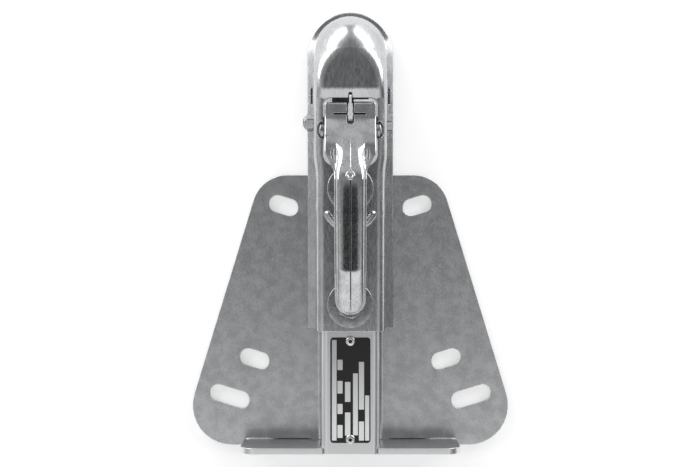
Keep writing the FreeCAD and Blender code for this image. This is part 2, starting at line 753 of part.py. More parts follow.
def handle_roof(inset):
    """Solid under the top skin: shoulders along both sides and a ridge between them, round outside."""
    wide = HANDLE_HALF + OVER
    wires = []
    for y, _, shoulder, ridge, top in HANDLE_STATIONS:
        bend = 0.0 if inset else RIDGE_BEND * (top - shoulder)
        side = ridge - inset * RIDGE_SLOPE
        right = [
            (wide, 0.0),
            (wide, shoulder - inset),
            (side, shoulder - inset, bend),
            (side, top - inset, bend),
        ]
        wires.append(outline(mirrored(right), at_cross(y)))
    return Part.makeLoft(wires, True, True)


def handle_side():
    """Side view: lower edge of the handle, with the round lobe about the pivot."""
    return [
        (HANDLE_FRONT + OVER, PIVOT_Z + HANDLE_FRONT_LOW),
        *about_pivot(HANDLE_LOBE_SIDE, PIVOT_Y, PIVOT_Z),
        *HANDLE_GRIP_SIDE,
        (GRIP_REAR, GRIP_TIP_LOW),
        (GRIP_REAR, HANDLE_OVER),
        (HANDLE_FRONT + OVER, HANDLE_OVER),
    ]


def handle():
    depth = HANDLE_OVER
    outer = handle_roof(0.0).common(prism(handle_plan(0.0), at_plan(1.0), Z * depth))
    inner = handle_roof(HANDLE_SHEET).common(
        prism(handle_plan(HANDLE_SHEET), at_plan(1.0), Z * depth)
    )
    shell = outer.cut(inner)
    width = 2 * HANDLE_HALF + 2 * OVER
    shell = shell.common(prism(handle_side(), at_side(-HANDLE_HALF - OVER), X * width))
    bore = PIVOT_RADIUS + RUNNING_FIT
    shell = shell.cut(rod_x(bore, -HANDLE_HALF - OVER, HANDLE_HALF + OVER, PIVOT_Y, PIVOT_Z))
    half = HANDLE_HALF - CATCH_PIN_COVER
    shell = shell.cut(rod_x(CATCH_PIN_RADIUS, -half, half, CATCH_PIN_Y, CATCH_PIN_Z))
    slit = CROSS_SLIT_WIDTH / 2
    shell = shell.cut(box(
        (-CROSS_SLIT_HALF, CROSS_SLIT_PLACE - slit, BODY_TOP - BODY_SHEET),
        (CROSS_SLIT_HALF, CROSS_SLIT_PLACE + slit, depth),
    ))
    half = CATCH_THICK / 2 + CATCH_PLAY
    shell = shell.cut(box(
        (-half, CATCH_PIN_Y - CATCH_SLOT_REAR, PIVOT_Z),
        (half, HANDLE_FRONT + OVER, depth),
    ))
    for side in (-1, 1):
        corners = slot_corners(
            side * SIDE_SLOT_HALF, SIDE_SLOT_PLACE, SIDE_SLOT_LENGTH, SIDE_SLOT_WIDTH, 90
        )
        shell = shell.cut(prism(corners, at_plan(BODY_TOP), Z * BODY_TOP))
    seat = HANDLE_RIVET_RADIUS + HANDLE_RIVET_SINK
    shell = shell.cut(rod_z(seat, handle_rivet_seat(), depth, 0, HANDLE_RIVET_PLACE))
    shell = shell.cut(rod_z(HANDLE_RIVET_SHANK, BODY_TOP, depth, 0, HANDLE_RIVET_PLACE))
    return shell


def handle_ridge_at(y):
    """Height of the ridge between two stations, in a straight line."""
    for (y0, _, _, _, z0), (y1, _, _, _, z1) in zip(HANDLE_STATIONS, HANDLE_STATIONS[1:]):
        if y1 <= y <= y0:
            return z0 + (z1 - z0) * (y0 - y) / (y0 - y1)
    return None


def handle_rivet_seat():
    return handle_ridge_at(HANDLE_RIVET_PLACE) - HANDLE_RIVET_SINK


def handle_rivet():
    top = handle_rivet_seat()
    low = top - HANDLE_SHEET - HANDLE_RIVET_SHANK
    rivet = rod_z(HANDLE_RIVET_SHANK, low, top, 0, HANDLE_RIVET_PLACE)
    head = Part.makeCone(
        HANDLE_RIVET_RADIUS, HANDLE_RIVET_CROWN, HANDLE_RIVET_HEAD,
        Vector(0, HANDLE_RIVET_PLACE, top), Z,
    )
    return rivet.fuse(head)


def cam_plates():
    """Bracket inside the handle: two cam plates on the pivot, joined under the roof."""
    outer = HANDLE_HALF - HANDLE_SHEET - CAM_GAP
    web = PIVOT_Z + PIVOT_RADIUS + CAM_WEB_GAP
    side = [
        (PIVOT_Y + CAM_FRONT, web + CAM_SHEET, CAM_FRONT_CORNER),
        *about_pivot(CAM_LOW_SIDE, PIVOT_Y, PIVOT_Z),
        (PIVOT_Y - CAM_REAR, web + CAM_SHEET, CAM_REAR_CORNER),
    ]
    bracket = prism(side, at_side(-outer), X * (2 * outer))
    inside = outer - CAM_SHEET
    bracket = bracket.cut(box(
        (-inside, PIVOT_Y - CAM_REAR - OVER, PIVOT_Z - CAM_LOBE - OVER),
        (inside, PIVOT_Y + CAM_REAR + OVER, web),
    ))
    bore = PIVOT_RADIUS + RUNNING_FIT
    bracket = bracket.cut(rod_x(bore, -outer, outer, PIVOT_Y, PIVOT_Z))
    return bracket


# Safety catch

def safety_catch():
    """Flat catch on edge in the middle of the handle, its nose in the notch of the body."""
    low_corner, high_corner = CATCH_NOSE_CORNERS
    side = [
        (CATCH_NOSE, CATCH_LOW, low_corner),
        (CATCH_NOSE, CATCH_TOP - 1.0, high_corner),
        *about_pivot(CATCH_SIDE, CATCH_PIN_Y, CATCH_PIN_Z),
    ]
    plate = prism(side, at_side(-CATCH_THICK / 2), X * CATCH_THICK)
    for turn in (-1, 1):
        low, high = sorted((turn * CATCH_NOSE_THICK / 2, turn * CATCH_THICK))
        plate = plate.cut(box(
            (low, CATCH_NOSE - CATCH_NOSE_RUN, CATCH_PIN_Z - CATCH_THICK),
            (high, CATCH_NOSE + OVER, CATCH_TOP + OVER),
        ))
    bore = CATCH_PIN_RADIUS + RUNNING_FIT
    return plate.cut(rod_x(bore, -CATCH_THICK, CATCH_THICK, CATCH_PIN_Y, CATCH_PIN_Z))


def catch_pin():
    half = HANDLE_HALF - CATCH_PIN_COVER - RUNNING_FIT
    return rod_x(CATCH_PIN_RADIUS, -half, half, CATCH_PIN_Y, CATCH_PIN_Z)


def catch_spring():
    pitch = CATCH_SPRING_PITCH * CATCH_SPRING_WIRE
    start = CATCH_THICK / 2 + CATCH_PLAY + CATCH_SPRING_WIRE
    spring = coil(CATCH_SPRING_RADIUS, CATCH_SPRING_WIRE, pitch, 0, 360 * CATCH_SPRING_TURNS, (0, 0))
    middle = start + pitch * CATCH_SPRING_TURNS / 2
    return moved(spring, Vector(middle, CATCH_PIN_Y, CATCH_PIN_Z))


NODES = {
    "mounting_plate": mounting_plate,
    "type_plate": type_plate,
    "type_plate_rivets": type_rivets,
    "coupler_body": coupler_body,
    "mount_bolts": mount_bolts,
    "mount_washers": lambda: washers(LARGE_WASHER_RADIUS, LARGE_WASHER_THICK, BODY_TOP),
    "lower_washers": lambda: washers(
        SMALL_WASHER_RADIUS, SMALL_WASHER_THICK, HAT_TOP - PLATE_SHEET - SMALL_WASHER_THICK
    ),
    "mount_nuts": mount_nuts,
    "jaw_pivot_bolt": jaw_pivot_bolt,
    "jaw_pivot_nut": jaw_pivot_nut,
    "pivot_sleeve": pivot_sleeve,
    "locking_jaw": locking_jaw,
    "jaw_spring": jaw_spring,
    "handle_pivot_pin": handle_pivot_pin,
    "handle": handle,
    "handle_rivet": handle_rivet,
    "cam_plates": cam_plates,
    "safety_catch": safety_catch,
    "catch_pin": catch_pin,
    "catch_spring": catch_spring,
}


def main():
    os.makedirs("parts", exist_ok=True)
    for name, make in NODES.items():
        made = make()
        shape = Part.makeCompound(made) if isinstance(made, list) else made
        shape.exportStep("parts/" + name + ".step")
        size = shape.BoundBox
        print(
            name, "solids", len(shape.Solids), "faces", len(shape.Faces), "valid", shape.isValid(),
            "volume %.0f" % shape.Volume,
            "x %.1f %.1f y %.1f %.1f z %.1f %.1f" % (
                size.XMin, size.XMax, size.YMin, size.YMax, size.ZMin, size.ZMax
            ),
        )


main()
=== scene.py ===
# %% [markdown]
# # Trailer ball coupler, seen from above
# A pressed steel head takes a 50 mm tow ball and is bolted to a slotted plate. This file dresses
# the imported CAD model: it keeps the places of all pieces and gives them rounded edges, real sheet
# thickness, threads and metal finishes. Shapes are written in millimetres, with the ball's centre
# as origin, +Y forward and +Z up, and go into the meshes in metres.

# %% Load the frame
import bmesh
import bpy
import math
import numpy as np
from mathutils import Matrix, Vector
from mathutils.geometry import delaunay_2d_cdt


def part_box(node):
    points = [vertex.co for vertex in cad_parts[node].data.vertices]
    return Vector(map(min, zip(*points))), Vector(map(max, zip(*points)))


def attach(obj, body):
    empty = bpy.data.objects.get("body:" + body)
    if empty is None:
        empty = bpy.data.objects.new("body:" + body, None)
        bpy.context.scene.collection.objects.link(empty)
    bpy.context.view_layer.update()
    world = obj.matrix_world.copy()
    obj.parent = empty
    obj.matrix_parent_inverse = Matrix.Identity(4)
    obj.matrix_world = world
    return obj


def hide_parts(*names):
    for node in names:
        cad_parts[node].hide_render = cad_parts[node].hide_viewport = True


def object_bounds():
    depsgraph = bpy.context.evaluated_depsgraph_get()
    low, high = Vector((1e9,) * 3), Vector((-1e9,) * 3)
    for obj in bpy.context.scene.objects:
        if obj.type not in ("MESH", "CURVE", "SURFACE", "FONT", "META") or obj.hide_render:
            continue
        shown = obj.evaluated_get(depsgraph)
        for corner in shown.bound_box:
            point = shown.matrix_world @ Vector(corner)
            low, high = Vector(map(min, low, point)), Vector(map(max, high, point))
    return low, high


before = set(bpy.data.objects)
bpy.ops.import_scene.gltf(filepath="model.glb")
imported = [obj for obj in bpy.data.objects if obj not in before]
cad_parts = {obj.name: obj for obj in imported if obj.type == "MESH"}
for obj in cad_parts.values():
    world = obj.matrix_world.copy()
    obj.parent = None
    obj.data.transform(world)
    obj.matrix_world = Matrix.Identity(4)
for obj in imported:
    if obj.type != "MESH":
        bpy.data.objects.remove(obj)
CAD_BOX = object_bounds()
MM = 0.001
scene = bpy.context.scene
link = scene.collection.objects.link
print("nodes", len(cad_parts), "box", CAD_BOX)

# %% [markdown]
# ## Camera
# The photograph looks straight down on the part, and its vertical walls lean away from the
# middle of the picture, so it was taken from near: 834 mm above the ball's centre. The picture's
# upper edge is the front of the part. A pinhole with this distance and focal length puts every
# piece on the pixel that it has in the photograph.

# %% Camera
CAMERA_HEIGHT = 834.0
CAMERA_PLACE = -145.5
FOCAL_PIXELS = 1018.0
IMAGE_WIDTH = 700.0
SENSOR = 36.0
CENTRE_SHIFT = -0.3
CLIP_START = 0.01

camera_data = bpy.data.cameras.new("camera")
camera_data.sensor_width = SENSOR
camera_data.lens = FOCAL_PIXELS * SENSOR / IMAGE_WIDTH
camera_data.clip_start = CLIP_START
camera = bpy.data.objects.new("camera", camera_data)
camera.location = (CENTRE_SHIFT * MM, CAMERA_PLACE * MM, CAMERA_HEIGHT * MM)
link(camera)
bpy.context.scene.camera = camera
print("lens", round(camera_data.lens, 2))

# %% [markdown]
# ## Colours and nodes
# Finishes are named by the colour that a picture of them shows, an sRGB hex value. Cycles
# computes with linear light, so one function turns one into the other. A second function adds a
# node, sets its values and links its inputs, which keeps each finish readable as a short recipe.


def linear(code):
    """Linear red, green, blue and alpha of an sRGB hex colour."""
    parts = np.array([int(code[i:i + 2], 16) for i in (0, 2, 4)]) / 255
    low, high = parts / 12.92, ((parts + 0.055) / 1.055) ** 2.4
    return tuple(float(v) for v in np.where(parts <= 0.04045, low, high)) + (1.0,)


def add(tree, kind, settings=None, links=None):
    """Adds a shader node. Settings are properties, or input values by name or number, and links
    feed inputs."""
    node = tree.nodes.new("ShaderNode" + kind)
    for name, value in (settings or {}).items():
        if isinstance(name, int) or name in node.inputs:
            node.inputs[name].default_value = value
        else:
            setattr(node, name, value)
    for name, socket in (links or {}).items():
        tree.links.new(socket, node.inputs[name])
    return node


def new_finish(name):
    """Empty material and its node tree."""
    material = bpy.data.materials.new(name)
    material.use_nodes = True
    material.node_tree.nodes.clear()
    return material, material.node_tree


# %% [markdown]
# ## Studio
# Bare metal shows its surroundings, so the room matters more than the lamps. Straight above is
# the dark camera in a grey ceiling. Its white rim stands higher up behind the part than ahead of
# it, the walls below are grey on both sides and ahead, and a long soft light on either side of the
# front draws the streaks on the dome. The floor is white paper. In the photograph it is pure
# white, so the camera and glossy metal find it with a little glow of its own.

# %% World
CEILING_DARK = 0.04
CEILING_GREY = 0.31
WALL_WHITE = 1.0
REAR_LIFT = 1.20
FRONT_LIFT = 0.10
RIM = (0.90, 0.72)
HOLE = (0.972, 0.992)
WALL_TOP = (0.90, 0.75)
WALLS = (
    # axis, where the wall's tone begins and where it is full, tone
    ("X", -0.2, -0.8, 0.48),
    ("X", 0.2, 0.8, 0.18),
    ("Y", -0.1, 0.3, 0.66),
)

world = bpy.data.worlds.new("studio")
world.use_nodes = True
scene.world = world
tree = world.node_tree
tree.nodes.clear()
path = add(tree, "LightPath")
direction = add(tree, "TexCoord")
toward = add(tree, "SeparateXYZ", links={0: direction.outputs["Generated"]})
rear = add(tree, "Math", {"operation": "MINIMUM", 1: 0.0}, {0: toward.outputs["Y"]})
lowered = add(tree, "Math", {"operation": "MULTIPLY_ADD", 1: REAR_LIFT - FRONT_LIFT}, {
    0: rear.outputs[0], 2: toward.outputs["Z"]})
lowered = add(tree, "Math", {"operation": "MULTIPLY_ADD", 1: FRONT_LIFT}, {
    0: toward.outputs["Y"], 2: lowered.outputs[0]})
rim = add(tree, "MapRange", {
    "interpolation_type": "SMOOTHSTEP", "From Min": RIM[0], "From Max": RIM[1], "To Min": CEILING_GREY,
    "To Max": WALL_WHITE}, {"Value": lowered.outputs[0]})
hole = add(tree, "MapRange", {
    "interpolation_type": "SMOOTHSTEP", "From Min": HOLE[0], "From Max": HOLE[1], "To Min": 1.0,
    "To Max": CEILING_DARK / CEILING_GREY}, {"Value": toward.outputs["Z"]})
ceiling = add(tree, "Math", {"operation": "MULTIPLY"}, {0: rim.outputs[0], 1: hole.outputs[0]})
walls = add(tree, "Value")
walls.outputs[0].default_value = 1.0
for axis, start, full, tone in WALLS:
    wall = add(tree, "MapRange", {"From Min": start, "From Max": full, "To Min": 1.0, "To Max": tone}, {
        "Value": toward.outputs[axis]})
    walls = add(tree, "Math", {"operation": "MULTIPLY"}, {0: walls.outputs[0], 1: wall.outputs[0]})
above = add(tree, "MapRange", {
    "From Min": WALL_TOP[0], "From Max": WALL_TOP[1], "To Min": 1.0, "To Max": 0.0}, {
    "Value": toward.outputs["Z"]})
walls = add(tree, "Mix", {"data_type": "FLOAT", 3: 1.0}, {0: above.outputs[0], 2: walls.outputs[0]})
room = add(tree, "Math", {"operation": "MULTIPLY"}, {0: ceiling.outputs[0], 1: walls.outputs[0]})
seen = add(tree, "Mix", {"data_type": "FLOAT", 3: 1.0}, {
    0: path.outputs["Is Camera Ray"], 2: room.outputs[0]})
sky = add(tree, "Background", {"Color": (1, 1, 1, 1)}, {"Strength": seen.outputs[0]})
add(tree, "OutputWorld", links={"Surface": sky.outputs[0]})
print("world nodes", len(tree.nodes))

# %% Floor
FLOOR_HALF = 4.0
FLOOR_GAP = 0.0003
FLOOR_GLOW = 0.36

level = CAD_BOX[0][2] - FLOOR_GAP
corners = [(x * FLOOR_HALF, y * FLOOR_HALF, level) for x, y in ((-1, -1), (1, -1), (1, 1), (-1, 1))]
floor_mesh = bpy.data.meshes.new("floor")
floor_mesh.from_pydata(corners, [], [(0, 1, 2, 3)])
floor = bpy.data.objects.new("floor", floor_mesh)
link(floor)

# matt white, and pure white where the camera or glossy metal looks at it
paper, tree = new_finish("white_paper")
path = add(tree, "LightPath")
diffuse = add(tree, "BsdfDiffuse", {"Color": linear("f4f4f4")})
glow = add(tree, "Emission", {"Color": (1, 1, 1, 1), "Strength": FLOOR_GLOW})
both = add(tree, "AddShader", links={0: diffuse.outputs[0], 1: glow.outputs[0]})
direct = add(tree, "Math", {"operation": "MAXIMUM"}, {
    0: path.outputs["Is Camera Ray"], 1: path.outputs["Is Glossy Ray"]})
mixed = add(tree, "MixShader", links={0: direct.outputs[0], 1: diffuse.outputs[0], 2: both.outputs[0]})
add(tree, "OutputMaterial", links={"Surface": mixed.outputs[0]})
floor_mesh.materials.append(paper)
print("floor level", round(level, 4))

# %% Lamps
BOX_SIZE = (1.6, 0.65)
BOX_SIDE = 0.95
BOX_AHEAD = 1.0
BOX_HEIGHT = 0.48
BOX_AIM = Vector((0.0, 0.5, 0.0))
BOX_POWER = 13.5

for side, name in ((-1, "left_box"), (1, "right_box")):
    data = bpy.data.lights.new(name, "AREA")
    data.shape = "RECTANGLE"
    data.size, data.size_y = BOX_SIZE
    data.energy = BOX_POWER
    lamp = bpy.data.objects.new(name, data)
    lamp.location = (side * BOX_SIDE, BOX_AHEAD, BOX_HEIGHT)
    lamp.rotation_euler = (BOX_AIM - lamp.location).to_track_quat("-Z", "Y").to_euler()
    link(lamp)
scene.view_settings.view_transform = "Standard"
print("lamps", len(bpy.data.lights))

# %% [markdown]
# ## Surfaces
# Most pieces here are bent or turned metal, and each can be written as points on a grid: a
# profile turned about an axis, or carried along a path. A grid's faces always join a point with
# its neighbours, so one function writes them for all such pieces. The normals at the points are
# weighted by the faces' areas, which keeps large flat faces flat right up to a rounded edge.

# %% Meshes from points and faces
WELD = 0.004


def grid_faces(rows, columns, wrap_rows=False, wrap_columns=False):
    """Quads of a grid of points: each joins a point, the next in its row, and the two after them."""
    r = np.arange(rows if wrap_rows else rows - 1)
    c = np.arange(columns if wrap_columns else columns - 1)
    r, c = np.meshgrid(r, c, indexing="ij")
    r2, c2 = (r + 1) % rows, (c + 1) % columns
    quads = np.stack([r * columns + c, r * columns + c2, r2 * columns + c2, r2 * columns + c], axis=-1)
    return quads.reshape(-1, 4)


def values(items, field, width=1, kind=float):
    """Array of what a field holds for each item of a mesh."""
    found = np.empty(len(items) * width, kind)
    items.foreach_get(field, found)
    return found.reshape(-1, width)


def soft_normals(mesh):
    """Normal at each vertex: the sum of the area vectors of the faces around it, made a unit."""
    area_vectors = values(mesh.polygons, "normal", 3) * values(mesh.polygons, "area")
    total = values(mesh.polygons, "loop_total", kind=int).ravel()
    corner = values(mesh.loops, "vertex_index", kind=int).ravel()
    pull = np.repeat(area_vectors, total, axis=0)
    sums = np.zeros((len(mesh.vertices), 3))
    np.add.at(sums, corner, pull)
    return sums / np.maximum(np.linalg.norm(sums, axis=1, keepdims=True), 1e-20)


def enter(name, mesh, finish, body, nodes):
    """Object of a mesh with one finish, riding on a body and standing for CAD nodes, if any."""
    made = bpy.data.objects.new(name, mesh)
    link(made)
    mesh.materials.append(finish)
    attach(made, body)
    if nodes:
        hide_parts(*nodes)
    print(name, "faces", len(mesh.polygons))
    return made


def piece(name, parts, finish, body, nodes=(), sharp=None):
    """Mesh object from parts, each (points in mm, faces): welded, smooth, and riding on a body.

    Edges sharper than sharp degrees stay sharp. Without it the whole skin is smooth.
    """
    points = np.concatenate([part[0] for part in parts]) * MM
    faces, start = [], 0
    for part in parts:
        cells = part[1] if isinstance(part[1], list) else part[1].tolist()
        faces += [[index + start for index in face] for face in cells]
        start += len(part[0])
    mesh = bpy.data.meshes.new(name)
    mesh.from_pydata(points.tolist(), [], faces)
    shape = bmesh.new()
    shape.from_mesh(mesh)
    bmesh.ops.remove_doubles(shape, verts=shape.verts, dist=WELD * MM)
    bmesh.ops.dissolve_degenerate(shape, edges=shape.edges, dist=WELD * MM / 4)
    shape.to_mesh(mesh)
    shape.free()
    mesh.shade_smooth()
    if sharp:
        mesh.set_sharp_from_angle(angle=math.radians(sharp))
    else:
        mesh.normals_split_custom_set_from_vertices(soft_normals(mesh).tolist())
    return enter(name, mesh, finish, body, nodes)


# %% [markdown]
# ## Profiles
# A profile is a list of corners, some of them rounded. The rounding is an arc that touches both
# sides of the corner. Turned about the Z axis it makes washers, pins, rivets and bolt shanks.

# %% Profiles and turned pieces
def rounded(corners, steps=5):
    """Points of an open profile. A corner (a, b, radius) becomes an arc that touches both sides."""
    made = []
    for i, corner in enumerate(corners):
        here = np.array(corner[:2], float)
        if len(corner) < 3 or i in (0, len(corners) - 1):
            made.append(here[None])
            continue
        back = np.array(corners[i - 1][:2]) - here
        on = np.array(corners[i + 1][:2]) - here
        back, on = back / np.linalg.norm(back), on / np.linalg.norm(on)
        half = math.acos(np.clip(back @ on, -1, 1)) / 2
        reach = corner[2] / math.tan(half)
        centre = here + (back + on) / np.linalg.norm(back + on) * corner[2] / math.sin(half)
        first, last = here + back * reach - centre, here + on * reach - centre
        sweep = math.pi - 2 * half
        t = np.linspace(0, 1, steps + 1)[:, None]
        arc = (first * np.sin((1 - t) * sweep) + last * np.sin(t * sweep)) / math.sin(sweep)
        made.append(centre + arc)
    return np.concatenate(made)


def closed_outline(corners, steps=5):
    """Points of a closed outline: the profile from the middle of its last side and back to it."""
    first, last = np.array(corners[0][:2], float), np.array(corners[-1][:2], float)
    middle = tuple((first + last) / 2)
    return rounded([middle] + list(corners) + [middle], steps)[:-1]


def rectangle(x, y, corner, steps=5):
    """Closed outline of a rectangle with round corners, from its two x and its two y."""
    return closed_outline([
        (x[1], y[0], corner), (x[1], y[1], corner), (x[0], y[1], corner), (x[0], y[0], corner)], steps)


def turned(profile, steps=64):
    """A profile (radius, height) turned about Z: x and y are the radius times cosine and sine."""
    angle = np.linspace(0, 2 * math.pi, steps, endpoint=False)[:, None]
    radius, height = profile[:, 0], np.broadcast_to(profile[:, 1], (steps, len(profile)))
    points = np.stack([radius * np.cos(angle), radius * np.sin(angle), height], axis=-1)
    return points.reshape(-1, 3), grid_faces(steps, len(profile), wrap_rows=True)


def placed(part, offset=(0, 0, 0), axes=None):
    """A part turned so that its X, Y and Z point along the three axes, and then shifted."""
    points = part[0] if axes is None else part[0] @ np.array(axes, float)
    return points + np.array(offset, float), part[1]


ALONG_X = ((0, 0, -1), (0, 1, 0), (1, 0, 0))
AGAINST_X = ((0, 0, 1), (0, 1, 0), (-1, 0, 0))


def spun(corners, place, axes=ALONG_X, steps=64):
    """One part: a rounded profile turned about Z, laid along X or other axes, and placed."""
    return placed(turned(rounded(corners), steps), place, axes)


# %% [markdown]
# ## Pressed sheet
# Plate, head and handle are sheets of even thickness, cut out flat and pressed into form. This is
# done here too: a blank is cut from a grid of lines, and a function lays every point of it, at
# every depth in the sheet, into its place. The cut edges get a rounded rim, because a sharp edge
# catches no light. The blank is cut an edge radius smaller, and the rim puts that back.

# %% Blank and press
SNAP = 0.001
RIM_STEPS = 4


def inset(outline, by):
    """Closed outline moved to its left by a distance, each point along its two sides' mean normal."""
    side = np.roll(outline, -1, axis=0) - outline
    side = side / np.linalg.norm(side, axis=1, keepdims=True)
    left = np.stack([-side[:, 1], side[:, 0]], axis=-1)
    before = np.roll(left, 1, axis=0)
    return outline + by * (left + before) / (1 + np.sum(left * before, axis=1, keepdims=True))


def mirrored(corners):
    """Completes an outline of the right half, from rear to front, with its left half."""
    return list(corners) + [(-c[0],) + tuple(c[1:]) for c in reversed(corners)]


def slot(x, y, length, width, turn, steps=8):
    """Outline of a slot with round ends, its length turned by an angle in degrees from X."""
    half = width / 2
    angle = np.linspace(-math.pi / 2, math.pi / 2, steps + 1)
    right = np.stack([length / 2 - half + half * np.cos(angle), half * np.sin(angle)], axis=-1)
    whole = np.concatenate([right, -right])
    whole = whole[np.linalg.norm(whole - np.roll(whole, 1, axis=0), axis=1) > 1e-6]
    c, s = math.cos(math.radians(turn)), math.sin(math.radians(turn))
    return whole @ np.array([[c, s], [-s, c]]) + (x, y)


def cut_blank(u_lines, v_lines, outer, holes):
    """Triangles of a flat blank: the grid lines are laid over the outline and the holes, and what
    lies outside or in a hole is dropped. Returns points (u, v) and triangles."""
    points, edges, faces = [], [], []
    for outline in [outer] + list(holes):
        faces.append(list(range(len(points), len(points) + len(outline))))
        points += [Vector(p) for p in np.asarray(outline).tolist()]
    low, high = np.min(outer, axis=0) - 1, np.max(outer, axis=0) + 1
    ends = [((u, low[1]), (u, high[1])) for u in u_lines] + [((low[0], v), (high[0], v)) for v in v_lines]
    for start, end in ends:
        edges.append((len(points), len(points) + 1))
        points += [Vector(start), Vector(end)]
    found, _, cells, _, _, sources = delaunay_2d_cdt(points, edges, faces, 1, 1e-5, True)
    kept = [list(cell) for cell, source in zip(cells, sources) if 0 in source and max(source) == 0]
    flat = np.array([tuple(p) for p in found])
    for axis, lines in enumerate((np.array(u_lines), np.array(v_lines))):
        nearest = lines[np.argmin(np.abs(flat[:, axis, None] - lines), axis=1)]
        close = np.abs(flat[:, axis] - nearest) < SNAP
        flat[close, axis] = nearest[close]
    return flat, kept


def stretch(a, run):
    """Number of a section's stretch at blank distance a, and the share of it that lies before a."""
    k = np.clip(np.searchsorted(run, a, side="right") - 1, 0, len(run) - 2)
    return k, np.clip((a - run[k]) / (run[k + 1] - run[k]), 0, 1)


def weld_table(points):
    """For each point, the number of the first point at the same place."""
    _, first, same = np.unique(np.round(points / WELD / 2), axis=0, return_index=True, return_inverse=True)
    return first[same.ravel()]


def press(skins, faces, edge):
    """Closes an outer and an inner skin, given as two arrays of points, with a rounded rim.

    The rim leaves the outer skin along the cut, turns a quarter circle of radius edge into the
    depth of the sheet, and comes back to the inner skin in the same way.
    """
    outer, inner = skins
    table = weld_table(outer).tolist()
    faces = [list(dict.fromkeys(table[i] for i in face)) for face in faces]
    faces = [face for face in faces if len(face) > 2]
    sides = np.array([(face[i - 1], face[i]) for face in faces for i in range(len(face))])
    size = len(outer)
    key, mirror = sides[:, 0] * size + sides[:, 1], sides[:, 1] * size + sides[:, 0]
    cut = sides[~np.isin(key, mirror)]
    following, leading = np.zeros(size, int), np.zeros(size, int)
    following[cut[:, 0]], leading[cut[:, 1]] = cut[:, 1], cut[:, 0]
    border = cut[:, 0]
    column = np.zeros(size, int)
    column[border] = np.arange(len(border))
    depth = inner[border] - outer[border]
    depth = depth / np.linalg.norm(depth, axis=1, keepdims=True)
    along = outer[following[border]] - outer[leading[border]]
    out = np.cross(along, -depth)
    out = out / np.linalg.norm(out, axis=1, keepdims=True)
    turn = np.linspace(0, math.pi / 2, RIM_STEPS + 1)
    rows = [outer[border] + edge * (out * math.sin(a) + depth * (1 - math.cos(a))) for a in turn]
    rows += [inner[border] + edge * (out * math.sin(a) - depth * (1 - math.cos(a))) for a in turn[::-1]]
    count = len(border)
    rim = np.concatenate(rows)
    here, there = column[cut[:, 0]], column[cut[:, 1]]
    quad = np.stack([there, here, here + count, there + count], axis=-1)
    quads = np.concatenate([quad + k * count for k in range(len(rows) - 1)])
    return [(outer, faces), (inner, [face[::-1] for face in faces]), (rim, quads)]


def flat_plate(outline, top, bottom, edge):
    """Level plate with a rounded rim, from its outline and the heights of its two faces."""
    middle = outline.mean(axis=0)
    flat, cells = cut_blank(middle[:1], middle[1:], inset(outline, edge), [])
    return press([np.column_stack([flat, np.full(len(flat), z)]) for z in (top, bottom)], cells, edge)


print("rim rows", 2 * RIM_STEPS + 2)

# %% [markdown]
# ## Finishes
# The plate is hot-dip galvanised: a matt, mottled grey, with painted light that makes it brighter on
# the raised hat. Head and handle are electroplated with zinc, which keeps the smoothness of the rolled
# sheet, so they mirror the room softly. Screws have the same plating on a rougher forging. All of
# them are bare metal to the light, so metallic is 1 and only colour, roughness and relief differ.

# %% Metal finishes
NO_CREST = ("ffffff", 500, 501)


def plated(name, tones, gloss, grain, blotch, relief, crest=NO_CREST):
    """Bare metal. Tones are two colours mixed by blotches of a size in mm, gloss the lowest and
    highest roughness, grain the size in mm of the fine pattern along X, Y and Z, and relief its
    height in mm. The crest is a third colour and the two heights in mm between which it comes in."""
    material, tree = new_finish(name)
    place = add(tree, "TexCoord").outputs["Object"]
    fine_place = add(tree, "Mapping", {"Scale": [1 / (g * MM) for g in grain]}, {"Vector": place})
    fine = add(tree, "TexNoise", {"Scale": 1.0, "Detail": 4.0, "Roughness": 0.6}, {
        "Vector": fine_place.outputs[0]})
    large = add(tree, "TexNoise", {"Scale": 1 / (blotch * MM), "Detail": 3.0}, {"Vector": place})
    both = add(tree, "Math", {"operation": "ADD"}, {0: fine.outputs[0], 1: large.outputs[0]})
    share = add(tree, "MapRange", {
        "interpolation_type": "SMOOTHSTEP", "From Min": 0.75, "From Max": 1.25}, {
        "Value": both.outputs[0]})
    colour = add(tree, "Mix", {"data_type": "RGBA", 6: linear(tones[0]), 7: linear(tones[1])}, {
        0: share.outputs[0]})
    # the crest: a lighter colour higher up, used as painted light on the plate's hat
    level = add(tree, "SeparateXYZ", links={0: place})
    rise = add(tree, "MapRange", {"From Min": crest[1] * MM, "From Max": crest[2] * MM}, {
        "Value": level.outputs["Z"]})
    colour = add(tree, "Mix", {"data_type": "RGBA", 7: linear(crest[0])}, {
        0: rise.outputs[0], 6: colour.outputs[2]})
    dull = add(tree, "MapRange", {
        "From Min": 0.3, "From Max": 0.7, "To Min": gloss[0], "To Max": gloss[1]}, {
        "Value": fine.outputs[0]})
    bump = add(tree, "Bump", {"Strength": 1.0, "Distance": relief * MM}, {"Height": fine.outputs[0]})
    metal = add(tree, "BsdfPrincipled", {"Metallic": 1.0}, {
        "Base Color": colour.outputs[2], "Roughness": dull.outputs[0], "Normal": bump.outputs[0]})
    add(tree, "OutputMaterial", links={"Surface": metal.outputs[0]})
    return material


# matt grey with soft clouds, and painted light that makes it lighter higher up, on the hat
galvanised = plated(
    "hot_dip_galvanised_sheet", ("b6b8ba", "cdcfd0"), gloss=(0.28, 0.38),
    grain=(0.9, 1.6, 1.2), blotch=9.0, relief=0.02, crest=("e3e5e6", -14, 16))
# satin, with streaks along the head and broad white lights on the dome
head_zinc = plated(
    "bright_zinc_on_pressed_head", ("b8babc", "cacccd"), gloss=(0.23, 0.29),
    grain=(1.4, 6.0, 2.0), blotch=20.0, relief=0.004)
